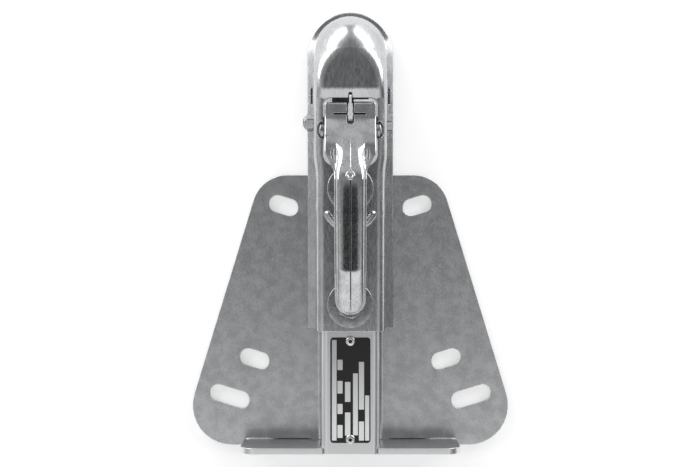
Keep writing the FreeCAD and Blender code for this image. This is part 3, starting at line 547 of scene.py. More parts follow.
# nearly a mirror: crisp lights on the ridge, and the dark camera in the grip
handle_zinc = plated(
    "bright_zinc_on_handle", ("b4b6b8", "d2d4d5"), gloss=(0.10, 0.18),
    grain=(1.2, 2.6, 2.0), blotch=12.0, relief=0.006)
# darker and grainy, so that screws and washers stand out from the sheet
screw_zinc = plated(
    "zinc_on_forged_screws", ("96989a", "b8babc"), gloss=(0.22, 0.32),
    grain=(0.8, 0.8, 0.8), blotch=5.0, relief=0.008)
# small and bright, with a sharp glint
rivet_metal = plated(
    "drawn_rivet_aluminium", ("c9cbcd", "e2e3e4"), gloss=(0.18, 0.28),
    grain=(0.6, 0.6, 0.6), blotch=4.0, relief=0.004)
# the lightest metal, too rough to mirror anything
catch_zinc = plated(
    "rough_zinc_on_catch", ("e4e6e7", "f2f3f4"), gloss=(0.48, 0.60),
    grain=(0.6, 0.6, 0.6), blotch=4.0, relief=0.006)
# dull, and painted dark as shade, so that the jaw stays as dark as the shade under the window
jaw_zinc_painted_dark = plated(
    "zinc_on_shell_cast_jaw_painted_dark", ("56585a", "737577"), gloss=(0.42, 0.60),
    grain=(0.7, 0.7, 0.7), blotch=6.0, relief=0.05)
# grey wire, painted darker as shade like the jaw, with a thin line of light along it
spring_wire = plated(
    "drawn_spring_wire", ("6e7072", "97999b"), gloss=(0.22, 0.34),
    grain=(2.5, 0.4, 0.4), blotch=3.0, relief=0.004)

# %% Other finishes
# painted light: between these places the type plate's fields turn lighter towards the rear
TONE_FRONT = -245.0
TONE_REAR = -302.0
GLOSS_BLOTCH = 1.5
GLOSS_SWING = 0.06


def printed(name, tones, rough):
    """Coloured, not metallic skin with a faint unevenness in its gloss. The tones are its colours
    at the front and at the rear of the type plate."""
    material, tree = new_finish(name)
    place = add(tree, "TexCoord").outputs["Object"]
    along = add(tree, "SeparateXYZ", links={0: place})
    share = add(tree, "MapRange", {"From Min": TONE_FRONT * MM, "From Max": TONE_REAR * MM}, {
        "Value": along.outputs["Y"]})
    colour = add(tree, "Mix", {"data_type": "RGBA", 6: linear(tones[0]), 7: linear(tones[1])}, {
        0: share.outputs[0]})
    noise = add(tree, "TexNoise", {"Scale": 1 / (GLOSS_BLOTCH * MM), "Detail": 3.0}, {"Vector": place})
    gloss = add(tree, "MapRange", {"To Min": rough - GLOSS_SWING, "To Max": rough + GLOSS_SWING}, {
        "Value": noise.outputs[0]})
    skin = add(tree, "BsdfPrincipled", links={
        "Base Color": colour.outputs[2], "Roughness": gloss.outputs[0]})
    add(tree, "OutputMaterial", links={"Surface": skin.outputs[0]})
    return material


# deep black behind the light fields
black_print = printed("black_anodised_type_plate", ("121213", "121213"), 0.38)
# pale grey, with painted light that turns it nearly white towards the rear
blank_print = printed("bare_fields_of_type_plate", ("b4b5b5", "eeefef"), 0.45)
# painted shade: dark line in the open joint where two sheets meet, dark under the handle's slit, and dark
# ground of small holes
painted_shade = printed("painted_shade_in_joints_slits_and_holes", ("2c2c2c", "2c2c2c"), 0.6)
print("finishes", len(bpy.data.materials))

# %% [markdown]
# ## Mounting plate
# The plate is 5 mm sheet with a channel, the hat, pressed up along its middle. A real press keeps
# the sheet's thickness round each bend, and so does a blank that is laid into place by its arc
# length: u runs across the plate, over the hat and down again, and v runs along it. A bar of the
# same sheet stands on the rear edge, cut to clear the hat and welded near its outer ends.

# %% Plate sizes
plate_low, plate_high = np.array(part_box("mounting_plate")) / MM
PLATE_SHEET = 5.0
PLATE_TOP = plate_low[2] + PLATE_SHEET
HAT_TOP = plate_high[2]
PLATE_REAR = plate_low[1]
HAT_TONGUE = 4.0
PLATE_FRONT = plate_high[1] - HAT_TONGUE
PLATE_FRONT_HALF = 74.7
PLATE_SIDE_ANGLE = 16.9
HAT_HALF = 23.5
HAT_CORNER = 5.5
HAT_FOOT = 4.0
FLANGE_END = 88.7
FLANGE_HAT_GAP = 0.8
SLOT_WIDTH = 14.0
SLOTS = ((55.8, -122.2, 24.5), (80.0, -250.2, 25.0), (100.8, -281.5, 34.0))
PLATE_EDGE = 0.7
PLATE_CORNERS = (33.0, 29.0)
TONGUE_CORNER = 0.8

QUARTER = math.pi / 2
HAT_RUN = np.cumsum([
    0, HAT_HALF - HAT_CORNER, HAT_CORNER * QUARTER,
    HAT_TOP - HAT_CORNER - PLATE_TOP - HAT_FOOT, HAT_FOOT * QUARTER])
FOOT_END = HAT_HALF + HAT_FOOT
print("hat run", HAT_RUN.round(2))


# %% Plate surface
def plate_points(u, v, depth):
    """Plate at blank place (u, v), depth below its top skin.

    Across: flat top, quarter arc, wall, quarter arc of the foot, flat. Depth runs against the
    normal.
    """
    a = np.abs(u)
    top = a < HAT_RUN[1]
    turn = np.clip((a - HAT_RUN[1]) / HAT_CORNER, 0, QUARTER)
    foot = np.clip((a - HAT_RUN[3]) / HAT_FOOT, 0, QUARTER)
    beyond = np.maximum(a - HAT_RUN[4], 0)
    high = a < HAT_RUN[3]
    x_high = np.where(top, a, HAT_RUN[1] + HAT_CORNER * np.sin(turn))
    wall = np.clip(a - HAT_RUN[2], 0, HAT_RUN[3] - HAT_RUN[2])
    z_high = HAT_TOP - HAT_CORNER * (1 - np.cos(turn)) - wall
    x_low = FOOT_END - HAT_FOOT * np.cos(foot) + beyond
    z_low = PLATE_TOP + HAT_FOOT * (1 - np.sin(foot))
    nx = np.where(high, np.sin(turn), np.cos(foot))
    nz = np.where(high, np.cos(turn), np.sin(foot))
    x = np.where(high, x_high, x_low) - depth * nx
    z = np.where(high, z_high, z_low) - depth * nz
    return np.stack([np.sign(u) * x, v, z], axis=-1)


# %% Plate blank
to_blank = HAT_RUN[4] - FOOT_END
rear_half = PLATE_FRONT_HALF + math.tan(math.radians(PLATE_SIDE_ANGLE)) * (PLATE_FRONT - PLATE_REAR)
plate_corners = mirrored([
    (rear_half + to_blank, PLATE_REAR, PLATE_CORNERS[0]),
    (PLATE_FRONT_HALF + to_blank, PLATE_FRONT, PLATE_CORNERS[1]),
    (FOOT_END + to_blank, PLATE_FRONT, TONGUE_CORNER),
    (FOOT_END + to_blank, PLATE_FRONT + HAT_TONGUE, TONGUE_CORNER),
])
holes = [
    slot(side * (x + to_blank), y, length, SLOT_WIDTH, side * PLATE_SIDE_ANGLE, 12)
    for x, y, length in SLOTS for side in (-1, 1)
]
across = np.concatenate([
    [0, 9], np.linspace(HAT_RUN[1], HAT_RUN[2], 8), np.linspace(HAT_RUN[2], HAT_RUN[3], 4)[1:-1],
    np.linspace(HAT_RUN[3], HAT_RUN[4], 7)])
across = np.unique(np.concatenate([-across, across]))
blank, cells = cut_blank(
    across, [-150.0, -210.0, -270.0], inset(closed_outline(plate_corners, 10), PLATE_EDGE),
    [inset(hole, -PLATE_EDGE) for hole in holes])
skins = [plate_points(*blank.T, depth) for depth in (0.0, PLATE_SHEET)]
piece("plate_sheet", press(skins, cells, PLATE_EDGE), galvanised, "frame_body", ["mounting_plate"])

# %% Rear bar
BAR_EDGE = 0.5
BAR_CORNER = 12.0
WELD_LENGTH = 24.0
WELD_SIZE = 1.2
# painted shade: a thin dark bead lies in the open joint of plate and bar, between the welds and the hat
SHADE_LINE_SIZE = 0.8
SHADE_LINE_GAPS = (1.0, 4.0)


def corner_bead(start, end, radius, rows=48, steps=24):
    """Bead along X in the corner of plate and bar: round, swelling and thinning a little, and
    running out at both ends."""
    angle = np.arange(steps) * 4 * QUARTER / steps
    share, turn = np.meshgrid(np.linspace(0, 1, rows), angle, indexing="ij")
    ends = np.minimum(1, 6 * np.minimum(share, 1 - share)) ** 0.5
    size = radius * ends * (1 + 0.03 * np.sin(share * 60))
    y = PLATE_REAR + PLATE_SHEET + size * np.cos(turn)
    points = np.stack([start + (end - start) * share, y, PLATE_TOP + size * np.sin(turn)], axis=-1)
    return points.reshape(-1, 3), grid_faces(rows, steps, wrap_columns=True)


bar_reach = HAT_CORNER + FLANGE_HAT_GAP
bar_turn = np.linspace(math.asin(HAT_CORNER / bar_reach), 0, 7)
bar_arc = np.stack([
    HAT_HALF - HAT_CORNER + bar_reach * np.cos(bar_turn),
    HAT_TOP - HAT_CORNER + bar_reach * np.sin(bar_turn)], axis=-1)
bar_outline = closed_outline([
    (HAT_HALF + FLANGE_HAT_GAP + HAT_FOOT, PLATE_TOP), (FLANGE_END, PLATE_TOP),
    (FLANGE_END, HAT_TOP, BAR_CORNER)] + bar_arc.tolist() + [
    (HAT_HALF + FLANGE_HAT_GAP, PLATE_TOP + HAT_FOOT, 1.0)], 10)
bar_blank, bar_cells = cut_blank([30.0], [0.0], inset(bar_outline, BAR_EDGE), [])
bar_parts, shade_line_parts = [], []
for side in (-1, 1):
    skins = [
        np.insert(bar_blank * (side, 1), 1, PLATE_REAR + y, axis=1) for y in (0.0, PLATE_SHEET)[::side]]
    bar_parts += press(skins, bar_cells, BAR_EDGE)
    low, high = sorted((side * FLANGE_END, side * (FLANGE_END - WELD_LENGTH)))
    bar_parts.append(corner_bead(low + 1.0, high, WELD_SIZE))
    # painted shade along the joint, from each weld to the hat
    low, high = sorted((
        side * (FLANGE_END - WELD_LENGTH - SHADE_LINE_GAPS[0]), side * (FOOT_END + SHADE_LINE_GAPS[1])))
    shade_line_parts.append(corner_bead(low, high, SHADE_LINE_SIZE))
piece("rear_bar", bar_parts, galvanised, "frame_body")
piece("joint_painted_shade", shade_line_parts, painted_shade, "frame_body")

# %% [markdown]
# ## Coupler head
# The head is one deep-drawn pressing: a channel that fits over the hat, a shoulder and skirt on
# both sides, and a dome over the ball in front. Its cross-section is a row of straight and round
# stretches, and the same row, with other sizes, describes it at every place: u picks the stretch,
# v the place. In front of the ball's centre the half section is turned about the ball's axis.

# %% Head sizes
head_low = np.array(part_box("coupler_body")[0]) / MM
HEAD_SHEET = 4.0
DOME_RADIUS = 29.3
HEAD_TOP = HAT_TOP + HEAD_SHEET
HEAD_REAR = head_low[1]
SKIRT_BOTTOM = head_low[2]
SKIRT_HALF = 35.4
DOME_CENTRE = 1.4
DOME_BULGE = 1.3
TAIL_HALF = 27.8
SHOULDER_TOP = -4.0
NECK = (-97.0, -82.0)
CREASE_TOP = 28.6
CREASE = (-38.2, -31.0)
HEAD_CORNER = 7.0
CREST_CORNER = 8.5
SKIRT_CORNER = 1.6
SHOULDER_FOOT = 1.0
SHOULDER_SLOPE = math.radians(25)
DOME_FLAT = 4.0
FRONT_FLAT = 0.6
DOME_EASE = 2.6
DOME_DIP = 0.22
LEVEL_FROM = 0.34
LEVEL_RUN = 0.28
BEAD = (-121.2, 19.6, 3.3, 1.9, math.radians(64))
PIN_PLACE = -63.2
WINDOW_HALF = 21.8
WINDOW_REAR = -92.0
WINDOW_FRONT = -37.7
NOTCH_FRONT = -33.4
NOTCH_HALF = 1.3
WINDOW_CORNERS = (10.0, 5.5)
NOTCH_CORNERS = (0.5, 1.0)
HEAD_EDGE = 0.6
EYE_PLACE = -32.4
EYE_REACH = 2.0
EYE_SIZE = (14.0, 1.6)
HOLE_EDGE = 0.3
HEAD_RUN = np.cumsum([0, 22.3, 11.0, 21.0, 1.6, 4.4, 2.2, 7.7])


def ease(t):
    """Smooth step from 0 to 1."""
    t = np.clip(t, 0, 1)
    return t * t * (3 - 2 * t)


def head_sizes(v):
    """Half width, roof height and corner radius of the section at place v."""
    half = TAIL_HALF + (DOME_RADIUS - TAIL_HALF) * ease((v - NECK[0]) / (NECK[1] - NECK[0]))
    rise = np.clip((v - CREASE[0]) / (CREASE[1] - CREASE[0]), 0, 1)
    front = np.clip((v - CREASE[1]) / (DOME_CENTRE - CREASE[1]), 0, 1)
    top = HEAD_TOP + (CREASE_TOP - HEAD_TOP) * rise + (DOME_RADIUS - CREASE_TOP) * front * (2 - front)
    corner = HEAD_CORNER + (CREST_CORNER - HEAD_CORNER) * rise
    corner = corner + (DOME_RADIUS - DOME_FLAT - CREST_CORNER) * front ** DOME_EASE
    return half, top, corner


def head_section(a, sizes, depth, front=0.0, power=2.0):
    """Section of the head, right half: x and z at blank distance a from the middle, at a depth.

    The shoulder slopes outward. The share front, from 0 at the sides to 1 ahead of the ball,
    levels it. A concave arc leads into it from the wall, and a convex one out of it to the skirt.
    The upper corner is a superellipse, and an arc where its power is 2.
    """
    half, top, corner = sizes
    half, top, corner = half - depth, top - depth, np.maximum(corner - depth, 0.8)
    skirt, bend = SKIRT_HALF - depth, np.maximum(SKIRT_CORNER - depth, 0.5)
    foot = SHOULDER_FOOT + 0.7 * depth
    slope = SHOULDER_SLOPE * (1 - front)
    level = SHOULDER_TOP - depth + foot
    foot_x, foot_z = half + foot * (1 - np.sin(slope)), level - foot * np.cos(slope)
    bend_x = skirt - bend + bend * np.sin(slope)
    bend_z = foot_z - (bend_x - foot_x) * np.tan(slope)
    centre = bend_z - bend * np.cos(slope)
    k, f = stretch(a, HEAD_RUN)
    s, c = np.sin(f * QUARTER) ** (2 / power), np.cos(f * QUARTER) ** (2 / power)
    into, out = f * (QUARTER - slope), slope + f * (QUARTER - slope)
    x = np.choose(k, [
        f * (half - corner), half - corner + corner * s, half + 0 * f, half + foot * (1 - np.cos(into)),
        foot_x * (1 - f) + bend_x * f, skirt - bend + bend * np.sin(out), skirt + 0 * f])
    z = np.choose(k, [
        top + 0 * f, top - corner + corner * c, (top - corner) * (1 - f) + level * f,
        level - foot * np.sin(into), foot_z * (1 - f) + bend_z * f, centre + bend * np.cos(out),
        centre * (1 - f) + SKIRT_BOTTOM * f])
    return x, z


# %% Head surface
def head_points(u, v, depth):
    """Head behind the dome's centre: the section for each place v, mirrored by the sign of u.

    The bead in the roof adds a bell of half a cosine wave across an arc, with round ends.
    """
    x, z = head_section(np.abs(u), head_sizes(v), depth)
    centre, radius, width, rise, sweep = BEAD
    beyond = np.maximum(np.arctan2(x, centre - v) - sweep, 0) * radius
    off = np.hypot(np.hypot(x, v - centre) - radius, beyond) / width
    z = z + rise * (0.5 + 0.5 * np.cos(math.pi * np.minimum(off, 1)))
    return np.stack([np.sign(u) * x, v, z], axis=-1)


def dome_points(a, angle, depth):
    """Head in front of the dome's centre: its half section turned about the dome's axis.

    The dome is a little longer than wide: its radius grows by a bulge towards the front, while the
    flat at its top narrows and the shoulder comes level. Halfway round it dips a little sooner.
    """
    half, top, _ = head_sizes(np.full_like(a, DOME_CENTRE))
    front = ease(np.sin(angle) / 0.75)
    flat = FRONT_FLAT + (DOME_FLAT - FRONT_FLAT) * np.exp(-5 * np.sin(angle))
    half = half + DOME_BULGE * front
    level = ease((np.sin(angle) - LEVEL_FROM) / LEVEL_RUN)
    power = 2 - DOME_DIP * np.sin(2 * angle) ** 2
    x, z = head_section(a, (half, top, half - flat), depth, level, power)
    return np.stack([x * np.cos(angle), DOME_CENTRE + x * np.sin(angle), z], axis=-1)


def roof_blank(outline):
    """Plan outline on the roof laid back into the blank: x is stretched by the roof's flat width."""
    half, _, corner = head_sizes(outline[:, 1])
    return np.stack([outline[:, 0] * HEAD_RUN[1] / (half - corner), outline[:, 1]], axis=-1)


# %% Head blank
right = np.concatenate([
    np.linspace(0, 21.6, 25), np.linspace(HEAD_RUN[1], HEAD_RUN[2], 15),
    np.linspace(HEAD_RUN[2], HEAD_RUN[3], 5)[1:-1], np.linspace(HEAD_RUN[3], HEAD_RUN[4], 7),
    np.linspace(HEAD_RUN[5], HEAD_RUN[6], 8),
    [HEAD_RUN[6] + 3.5, HEAD_RUN[7] - HEAD_EDGE]])
across = np.unique(np.concatenate([-right, right]))
along = np.concatenate([
    [HEAD_REAR + 20, -180, -155], np.linspace(-145, -127, 24), [-110], np.linspace(*NECK, 11),
    [-70, -55], np.linspace(*CREASE, 5), np.linspace(CREASE[1], DOME_CENTRE, 15)[1:]])
window = closed_outline(mirrored([
    (WINDOW_HALF, WINDOW_REAR, WINDOW_CORNERS[0]), (WINDOW_HALF, WINDOW_FRONT, WINDOW_CORNERS[1]),
    (NOTCH_HALF, WINDOW_FRONT, NOTCH_CORNERS[0]), (NOTCH_HALF, NOTCH_FRONT, NOTCH_CORNERS[1])]), 8)
eyes = [slot(side * (HEAD_RUN[4] + EYE_REACH), EYE_PLACE, *EYE_SIZE, 90) for side in (-1, 1)]
pin_seat = closed_outline([
    (20.8, -7.2), (24.4, -6.8, 2.0), (27.0, -3.5, 2.0), (27.0, 3.5, 2.0), (24.4, 6.8, 2.0),
    (20.8, 7.2)]) + (0, PIN_PLACE)
bottom, rear = HEAD_RUN[7] - HEAD_EDGE, HEAD_REAR + HEAD_EDGE
outer = [(bottom, rear), (bottom, DOME_CENTRE), (-bottom, DOME_CENTRE), (-bottom, rear)]
holes = [inset(hole, -HOLE_EDGE) for hole in eyes + [pin_seat, (pin_seat * (-1, 1))[::-1]]]
blank, cells = cut_blank(across, along, outer, [inset(roof_blank(window), -HEAD_EDGE)] + holes)
angle, reach = np.meshgrid(np.linspace(0, math.pi, 73), right, indexing="ij")
front_cells = grid_faces(*angle.shape) + len(blank)
skins = [
    np.concatenate([head_points(*blank.T, depth), dome_points(reach.ravel(), angle.ravel(), depth)])
    for depth in (0.0, HEAD_SHEET)]
head_parts = press(skins, cells + front_cells.tolist(), HEAD_EDGE)
piece("head_pressing", head_parts, head_zinc, "frame_body", ["coupler_body"])

# %% [markdown]
# ## Lift handle
# The handle is 2.5 mm sheet pressed into a ridge with a shoulder on both sides, wide between the
# walls of the head and narrow along the grip. A table gives its section at a few places, and
# straight lines between them, rounded by a mean over a short stretch, give it everywhere. The
# front edge is folded down, and the rear end is the section turned half round.

# %% Handle sizes
HANDLE_SHEET = 2.5
HANDLE_EDGE = 0.45
HANDLE_FRONT = -41.2
HANDLE_BEND = 1.4
HANDLE_BLUR = 1.5
RIDGE_BLUR = 4.5
FRONT_CORNER = 2.0
FOLD_BEND = 2.6
FOLD_DROP = 3.0
FOLD_START = HANDLE_FRONT - FOLD_BEND
TIP_CENTRE = -197.3
RIDGE_POWER = 4.0
RIDGE_SOFT = (-77.0, -98.0)
SEAM_PLACE = 0.15
SEAM_DEPTH = 1.5
SEAM_WIDTH = 0.2
SEAM_FRONT = -56.0
SEAM_DEEP = -92.0
HANDLE_TABLE = np.array([
    # place, half width, shoulder height, half width of the ridge, ridge height
    (-38.5, 20.5, 27.4, 17.0, 27.8),
    (-54.0, 20.5, 28.4, 17.0, 28.8),
    (-60.0, 20.5, 31.0, 14.5, 31.5),
    (-66.0, 20.5, 33.5, 12.4, 33.9),
    (-75.0, 20.5, 36.8, 11.2, 37.9),
    (-82.0, 20.5, 38.4, 10.8, 41.9),
    (-84.0, 19.6, 38.9, 10.8, 43.1),
    (-96.0, 13.0, 43.4, 11.1, 49.9),
    (-104.0, 12.7, 45.2, 11.3, 52.1),
    (-125.0, 12.6, 46.2, 11.2, 52.7),
    (-178.0, 12.4, 45.8, 11.0, 52.4),
    (TIP_CENTRE, 12.1, 40.8, 10.7, 45.0),
    (-211.0, 11.5, 36.9, 10.1, 39.6),
])
LOWER_EDGE = np.array([
    # place, height of the lower edge
    (-38.5, 20.8), (-53.0, 20.3), (-56.0, 14.0), (-59.0, 10.2), (-63.2, 9.3), (-67.5, 10.2),
    (-70.5, 13.0), (-74.0, 18.5), (-84.0, 27.5), (-94.0, 39.3), (-98.0, 40.0), (-150.0, 42.0),
    (TIP_CENTRE, 37.2), (-211.0, 33.6)])
CROSS_SLIT = (-0.5, -50.7, 26.8, 1.9, 0)
SIDE_SLIT = (-83.0, 9.0, 1.7, 90)
SIDE_SLIT_X = 13.9
PIN_HOLE = (-69.0, 1.8, 1.8, 0)
CATCH_SLOT = (1.9, -58.8)
SLIT_EDGE = 0.2
# painted shade: place of two dark strips under the cross slit
STRIP_X = (2.3, 13.4)
STRIP_Y = (-53.0, -49.5)
STRIP_Z = (25.6, 24.8)
HANDLE_RUN = np.cumsum([0, 11.4, 2.6, 3.1, 6.8])


def along_handle(v, table, column, blur=HANDLE_BLUR):
    """Value of a table's column at place v: straight between rows, as a mean over the blur."""
    shifts = np.linspace(-blur, blur, 9)
    return np.mean([np.interp(-(v + shift), -table[:, 0], table[:, column]) for shift in shifts], axis=0)


def handle_sizes(v):
    """Half width, shoulder height, half width of the ridge and its height at place v."""
    half, shoulder = (along_handle(v, HANDLE_TABLE, column) for column in (1, 2))
    ridge, top = (along_handle(v, HANDLE_TABLE, column, RIDGE_BLUR) for column in (3, 4))
    corner = np.clip(v - HANDLE_FRONT + FRONT_CORNER, 0, FRONT_CORNER - 0.01)
    return half - FRONT_CORNER + np.sqrt(FRONT_CORNER ** 2 - corner ** 2), shoulder, ridge, top


def handle_section(a, v, depth):
    """Section of the handle, right half: x and z at blank distance a from the middle.

    Ridge: an arch, as a superellipse along the grip that softens to a power curve on the slope.
    Shoulder: flat. Bend: a quarter arc. Wall: straight down to the lower edge. A lesser depth in
    the sheet is nearer the outer skin.
    """
    half, shoulder, ridge, top = handle_sizes(v)
    low = along_handle(v, LOWER_EDGE, 1)
    bend = np.maximum(np.minimum(0.8 * (half - ridge), HANDLE_BEND) - depth, 0.4)
    half, top, shoulder = half - depth, top - depth, shoulder - depth
    ridge = ridge - 0.9 * depth
    k, f = stretch(a, HANDLE_RUN)
    power = 1 + (RIDGE_POWER - 1) * ease((RIDGE_SOFT[0] - v) / (RIDGE_SOFT[0] - RIDGE_SOFT[1]))
    arch = (1 - f ** RIDGE_POWER) ** (1 / power)
    x = np.choose(k, [
        f * ridge, ridge * (1 - f) + (half - bend) * f, half - bend + bend * np.sin(f * QUARTER),
        half + 0 * f])
    z = np.choose(k, [
        shoulder + (top - shoulder) * arch, shoulder + 0 * f, shoulder - bend + bend * np.cos(f * QUARTER),
        (shoulder - bend) * (1 - f) + np.minimum(low, shoulder - bend - 0.2) * f])
    return x, z


# %% Handle surface
TAB_HALF = HANDLE_RUN[1]


def seam(x, v):
    """Depth of the seam along the middle of the ridge."""
    depth = SEAM_DEPTH * ease((SEAM_FRONT - v) / 4) * (0.05 + 0.95 * ease((SEAM_DEEP - v) / 8))
    return depth * np.exp(-((x - SEAM_PLACE) / SEAM_WIDTH) ** 2)


def handle_points(u, v, depth):
    """Handle ahead of its tip. The middle of its front edge goes round the fold and then down."""
    a = np.abs(u)
    tab = (a < TAB_HALF + 0.2) & (v > FOLD_START)
    x, z = handle_section(a, np.where(tab, FOLD_START, v), depth)
    x = np.sign(u) * x
    z = z - (seam(x, v) if depth == 0 else 0)
    run = v - FOLD_START
    fold = np.clip(run / FOLD_BEND, 0, QUARTER)
    bend = FOLD_BEND - depth
    y_tab = FOLD_START + bend * np.sin(fold)
    z_tab = z - bend + bend * np.cos(fold) - np.maximum(run - FOLD_BEND * QUARTER, 0)
    return np.stack([x, np.where(tab, y_tab, v), np.where(tab, z_tab, z)], axis=-1)


def tip_points(a, angle, depth):
    """Rear end: half widths of the section at the tip's centre, turned about it, with the heights
    that the section has at the place where each point comes to lie."""
    reach, _ = handle_section(a, np.full_like(a, TIP_CENTRE), depth)
    x, y = reach * np.cos(angle), TIP_CENTRE - reach * np.sin(angle)
    _, z = handle_section(a, y, depth)
    z = z - (seam(x, y) * ease(a / 2) if depth == 0 else 0)
    return np.stack([x, y, z], axis=-1)


def handle_blank(outline):
    """Plan outline on ridge or shoulder laid back into the blank."""
    half, _, ridge, _ = handle_sizes(outline[:, 1])
    reach = np.abs(outline[:, 0])
    flat = half - np.minimum(0.8 * (half - ridge), HANDLE_BEND) - ridge
    beside = HANDLE_RUN[1] + (HANDLE_RUN[2] - HANDLE_RUN[1]) * (reach - ridge) / flat
    u = np.where(reach < ridge, HANDLE_RUN[1] * reach / ridge, beside)
    return np.stack([np.sign(outline[:, 0]) * u, outline[:, 1]], axis=-1)


# %% Handle blank
wall_end = HANDLE_RUN[4]
fold_end = FOLD_START + FOLD_BEND * QUARTER + FOLD_DROP
cut_end = FOLD_START - 1.2
handle_outline = closed_outline(mirrored([
    (wall_end, TIP_CENTRE), (wall_end, HANDLE_FRONT, 0.8), (TAB_HALF + 0.4, HANDLE_FRONT, 0.4),
    (TAB_HALF + 0.4, cut_end, 0.19), (TAB_HALF, cut_end, 0.19), (TAB_HALF, fold_end, 1.2),
    (CATCH_SLOT[0], fold_end, 0.5), (*CATCH_SLOT, 1.2)]), 6)
outer = inset(handle_outline, HANDLE_EDGE)
outer[outer[:, 1] < TIP_CENTRE + 2 * HANDLE_EDGE, 1] = TIP_CENTRE
holes = [
    handle_blank(slot(*CROSS_SLIT)), handle_blank(slot(-SIDE_SLIT_X, *SIDE_SLIT)),
    handle_blank(slot(SIDE_SLIT_X, *SIDE_SLIT)), slot(-HANDLE_RUN[2] - 0.7, *PIN_HOLE)]
right = np.concatenate([
    HANDLE_RUN[1] * np.sin(np.linspace(0, QUARTER, 22)), [HANDLE_RUN[2]],
    np.linspace(HANDLE_RUN[2], HANDLE_RUN[3], 9)[1:], [wall_end - HANDLE_EDGE]])
groove = SEAM_PLACE + SEAM_WIDTH * np.array([-2.5, -1.6, -1.0, -0.5, 0, 0.5, 1.0, 1.6, 2.5])
across = np.unique(np.concatenate([-right, right, groove, -groove]).round(6))
along = np.unique(np.concatenate([
    np.linspace(-38, FOLD_START, 9), np.linspace(-46, -104, 88), np.linspace(-104, -172, 18),
    np.linspace(-172, TIP_CENTRE, 28)]))
blank, cells = cut_blank(across, along, outer, [inset(hole, -SLIT_EDGE) for hole in holes])
tip_right = across[across >= 0]
angle, reach = np.meshgrid(np.linspace(0, math.pi, 57), tip_right, indexing="ij")
tip_cells = grid_faces(*angle.shape)[:, ::-1] + len(blank)
skins = [
    np.concatenate([handle_points(*blank.T, depth), tip_points(reach.ravel(), angle.ravel(), depth)])
    for depth in (0.0, HANDLE_SHEET)]
handle_parts = press(skins, cells + tip_cells.tolist(), HANDLE_EDGE)
piece("handle_pressing", handle_parts, handle_zinc, "handle_body", ["handle"])
# painted shade: two dark strips under the cross slit, where the slit shows only shade
strips = []
for side in (-1, 1):
    strip = rectangle(sorted(side * x for x in STRIP_X), STRIP_Y, 0.3, 3)
    strips += flat_plate(strip, *STRIP_Z, SLIT_EDGE)
piece("slit_painted_shade", strips, painted_shade, "handle_body")

# %% [markdown]
# ## Screws, washers and pins
# A hexagon head is a turned piece that was cut to six flats: at each angle the radius is the
# lesser of the turned profile and the flat. The chamfer then shows as six curved lines, as on
# a real bolt. A thread is a cylinder whose radius swings once per pitch, shifted by the angle.

# %% Hexagons and threads
def chamfer(across, level, run, steps=6):
    """Rows of a profile where a cone of 30 degrees takes the corners off, run mm high and ending
    at a level. A negative run makes the lower chamfer."""
    rise = np.linspace(0, run, steps)
    return [(across / 2 * 0.97 + abs(r) * math.sqrt(3), level - r) for r in rise]


def hexagonal(across, profile, turn=0.0, steps=144):
    """A profile (radius, height) turned about Z, but nowhere further out than a hexagon's flats."""
    degrees = np.linspace(0, 360, steps, endpoint=False)
    flats = across / 2 / np.cos(np.radians(degrees % 60 - 30))
    flats = np.minimum(flats, across / math.sqrt(3) - 0.02 * across)
    profile = np.array(profile, float)
    radius = np.minimum(profile[:, 0], flats[:, None])
    angle = np.radians(degrees + turn)[:, None]
    height = np.broadcast_to(profile[:, 1], radius.shape)
    points = np.stack([radius * np.cos(angle), radius * np.sin(angle), height], axis=-1)
    return points.reshape(-1, 3), grid_faces(steps, len(profile), wrap_rows=True)


def thread(radius, pitch, low, high, steps=48):
    """Screw thread about Z: crest and root once per pitch, with a tapered lower end and flat ends."""
    count = int((high - low) / pitch * 12)
    angle = np.linspace(0, 4 * QUARTER, steps, endpoint=False)[:, None]
    z = np.linspace(high, low, count)
    swing = 0.5 + 0.5 * np.cos(4 * QUARTER * z / pitch + angle)
    size = np.minimum(radius - 0.6 * pitch * swing ** 2, 0.82 * radius + z - low)
    size = np.concatenate([np.zeros((steps, 1)), size, np.zeros((steps, 1))], axis=1)
    z = np.broadcast_to(np.concatenate([[high], z, [low]]), size.shape)
    points = np.stack([size * np.cos(angle), size * np.sin(angle), z], axis=-1)
    return points.reshape(-1, 3), grid_faces(steps, count + 2, wrap_rows=True)


# %% Vertical bolts
MOUNT_PLACES = (-110.0, -202.0)
MOUNT_HEX = 19.0
MOUNT_HEAD = 7.5
MOUNT_TURN = 10.0
MOUNT_RADIUS = 6.0
MOUNT_PITCH = 1.75
MOUNT_LENGTH = 38.0
MOUNT_NUT = 10.0
LARGE_WASHER = (18.5, 3.0)
SMALL_WASHER = (12.0, 2.5)
WASHER_BORE = 6.5
CHAMFER = 0.08


def washer(outer, thick, bore):
    """Stamped washer on z = 0, its edges rounded and its upper one more."""
    return turned(rounded([
        (bore, thick / 2), (bore, thick, 0.3), (outer, thick, 1.0), (outer, 0, 0.3), (bore, 0, 0.3),
        (bore, thick / 2)], 6), 128)


def bolt_head(across, thick):
    """Profile of a bolt's head on z = 0: dished top, chamfer, flats."""
    dish = 0.3 * across
    top = rounded([
        (0, thick - 0.3), (dish, thick - 0.3, 1.0), (dish + 1.2, thick, 0.6), (across * 0.485, thick)])
    sides = chamfer(across, thick, CHAMFER * across)[1:]
    return top.tolist() + sides + [(across, 0.3), (across * 0.49, 0.0), (0, 0)]


def nut_profile(across, thick, bore):
    """Profile of a nut on z = 0 with both ends chamfered and the bore opened a little."""
    upper, lower = chamfer(across, thick, CHAMFER * across), chamfer(across, 0, -CHAMFER * across)
    mouth = [(bore, 0.6), (bore, thick - 0.6), (bore + 0.6, thick)]
    return [(bore + 0.6, thick)] + upper + lower[::-1] + [(bore + 0.6, 0.0)] + mouth


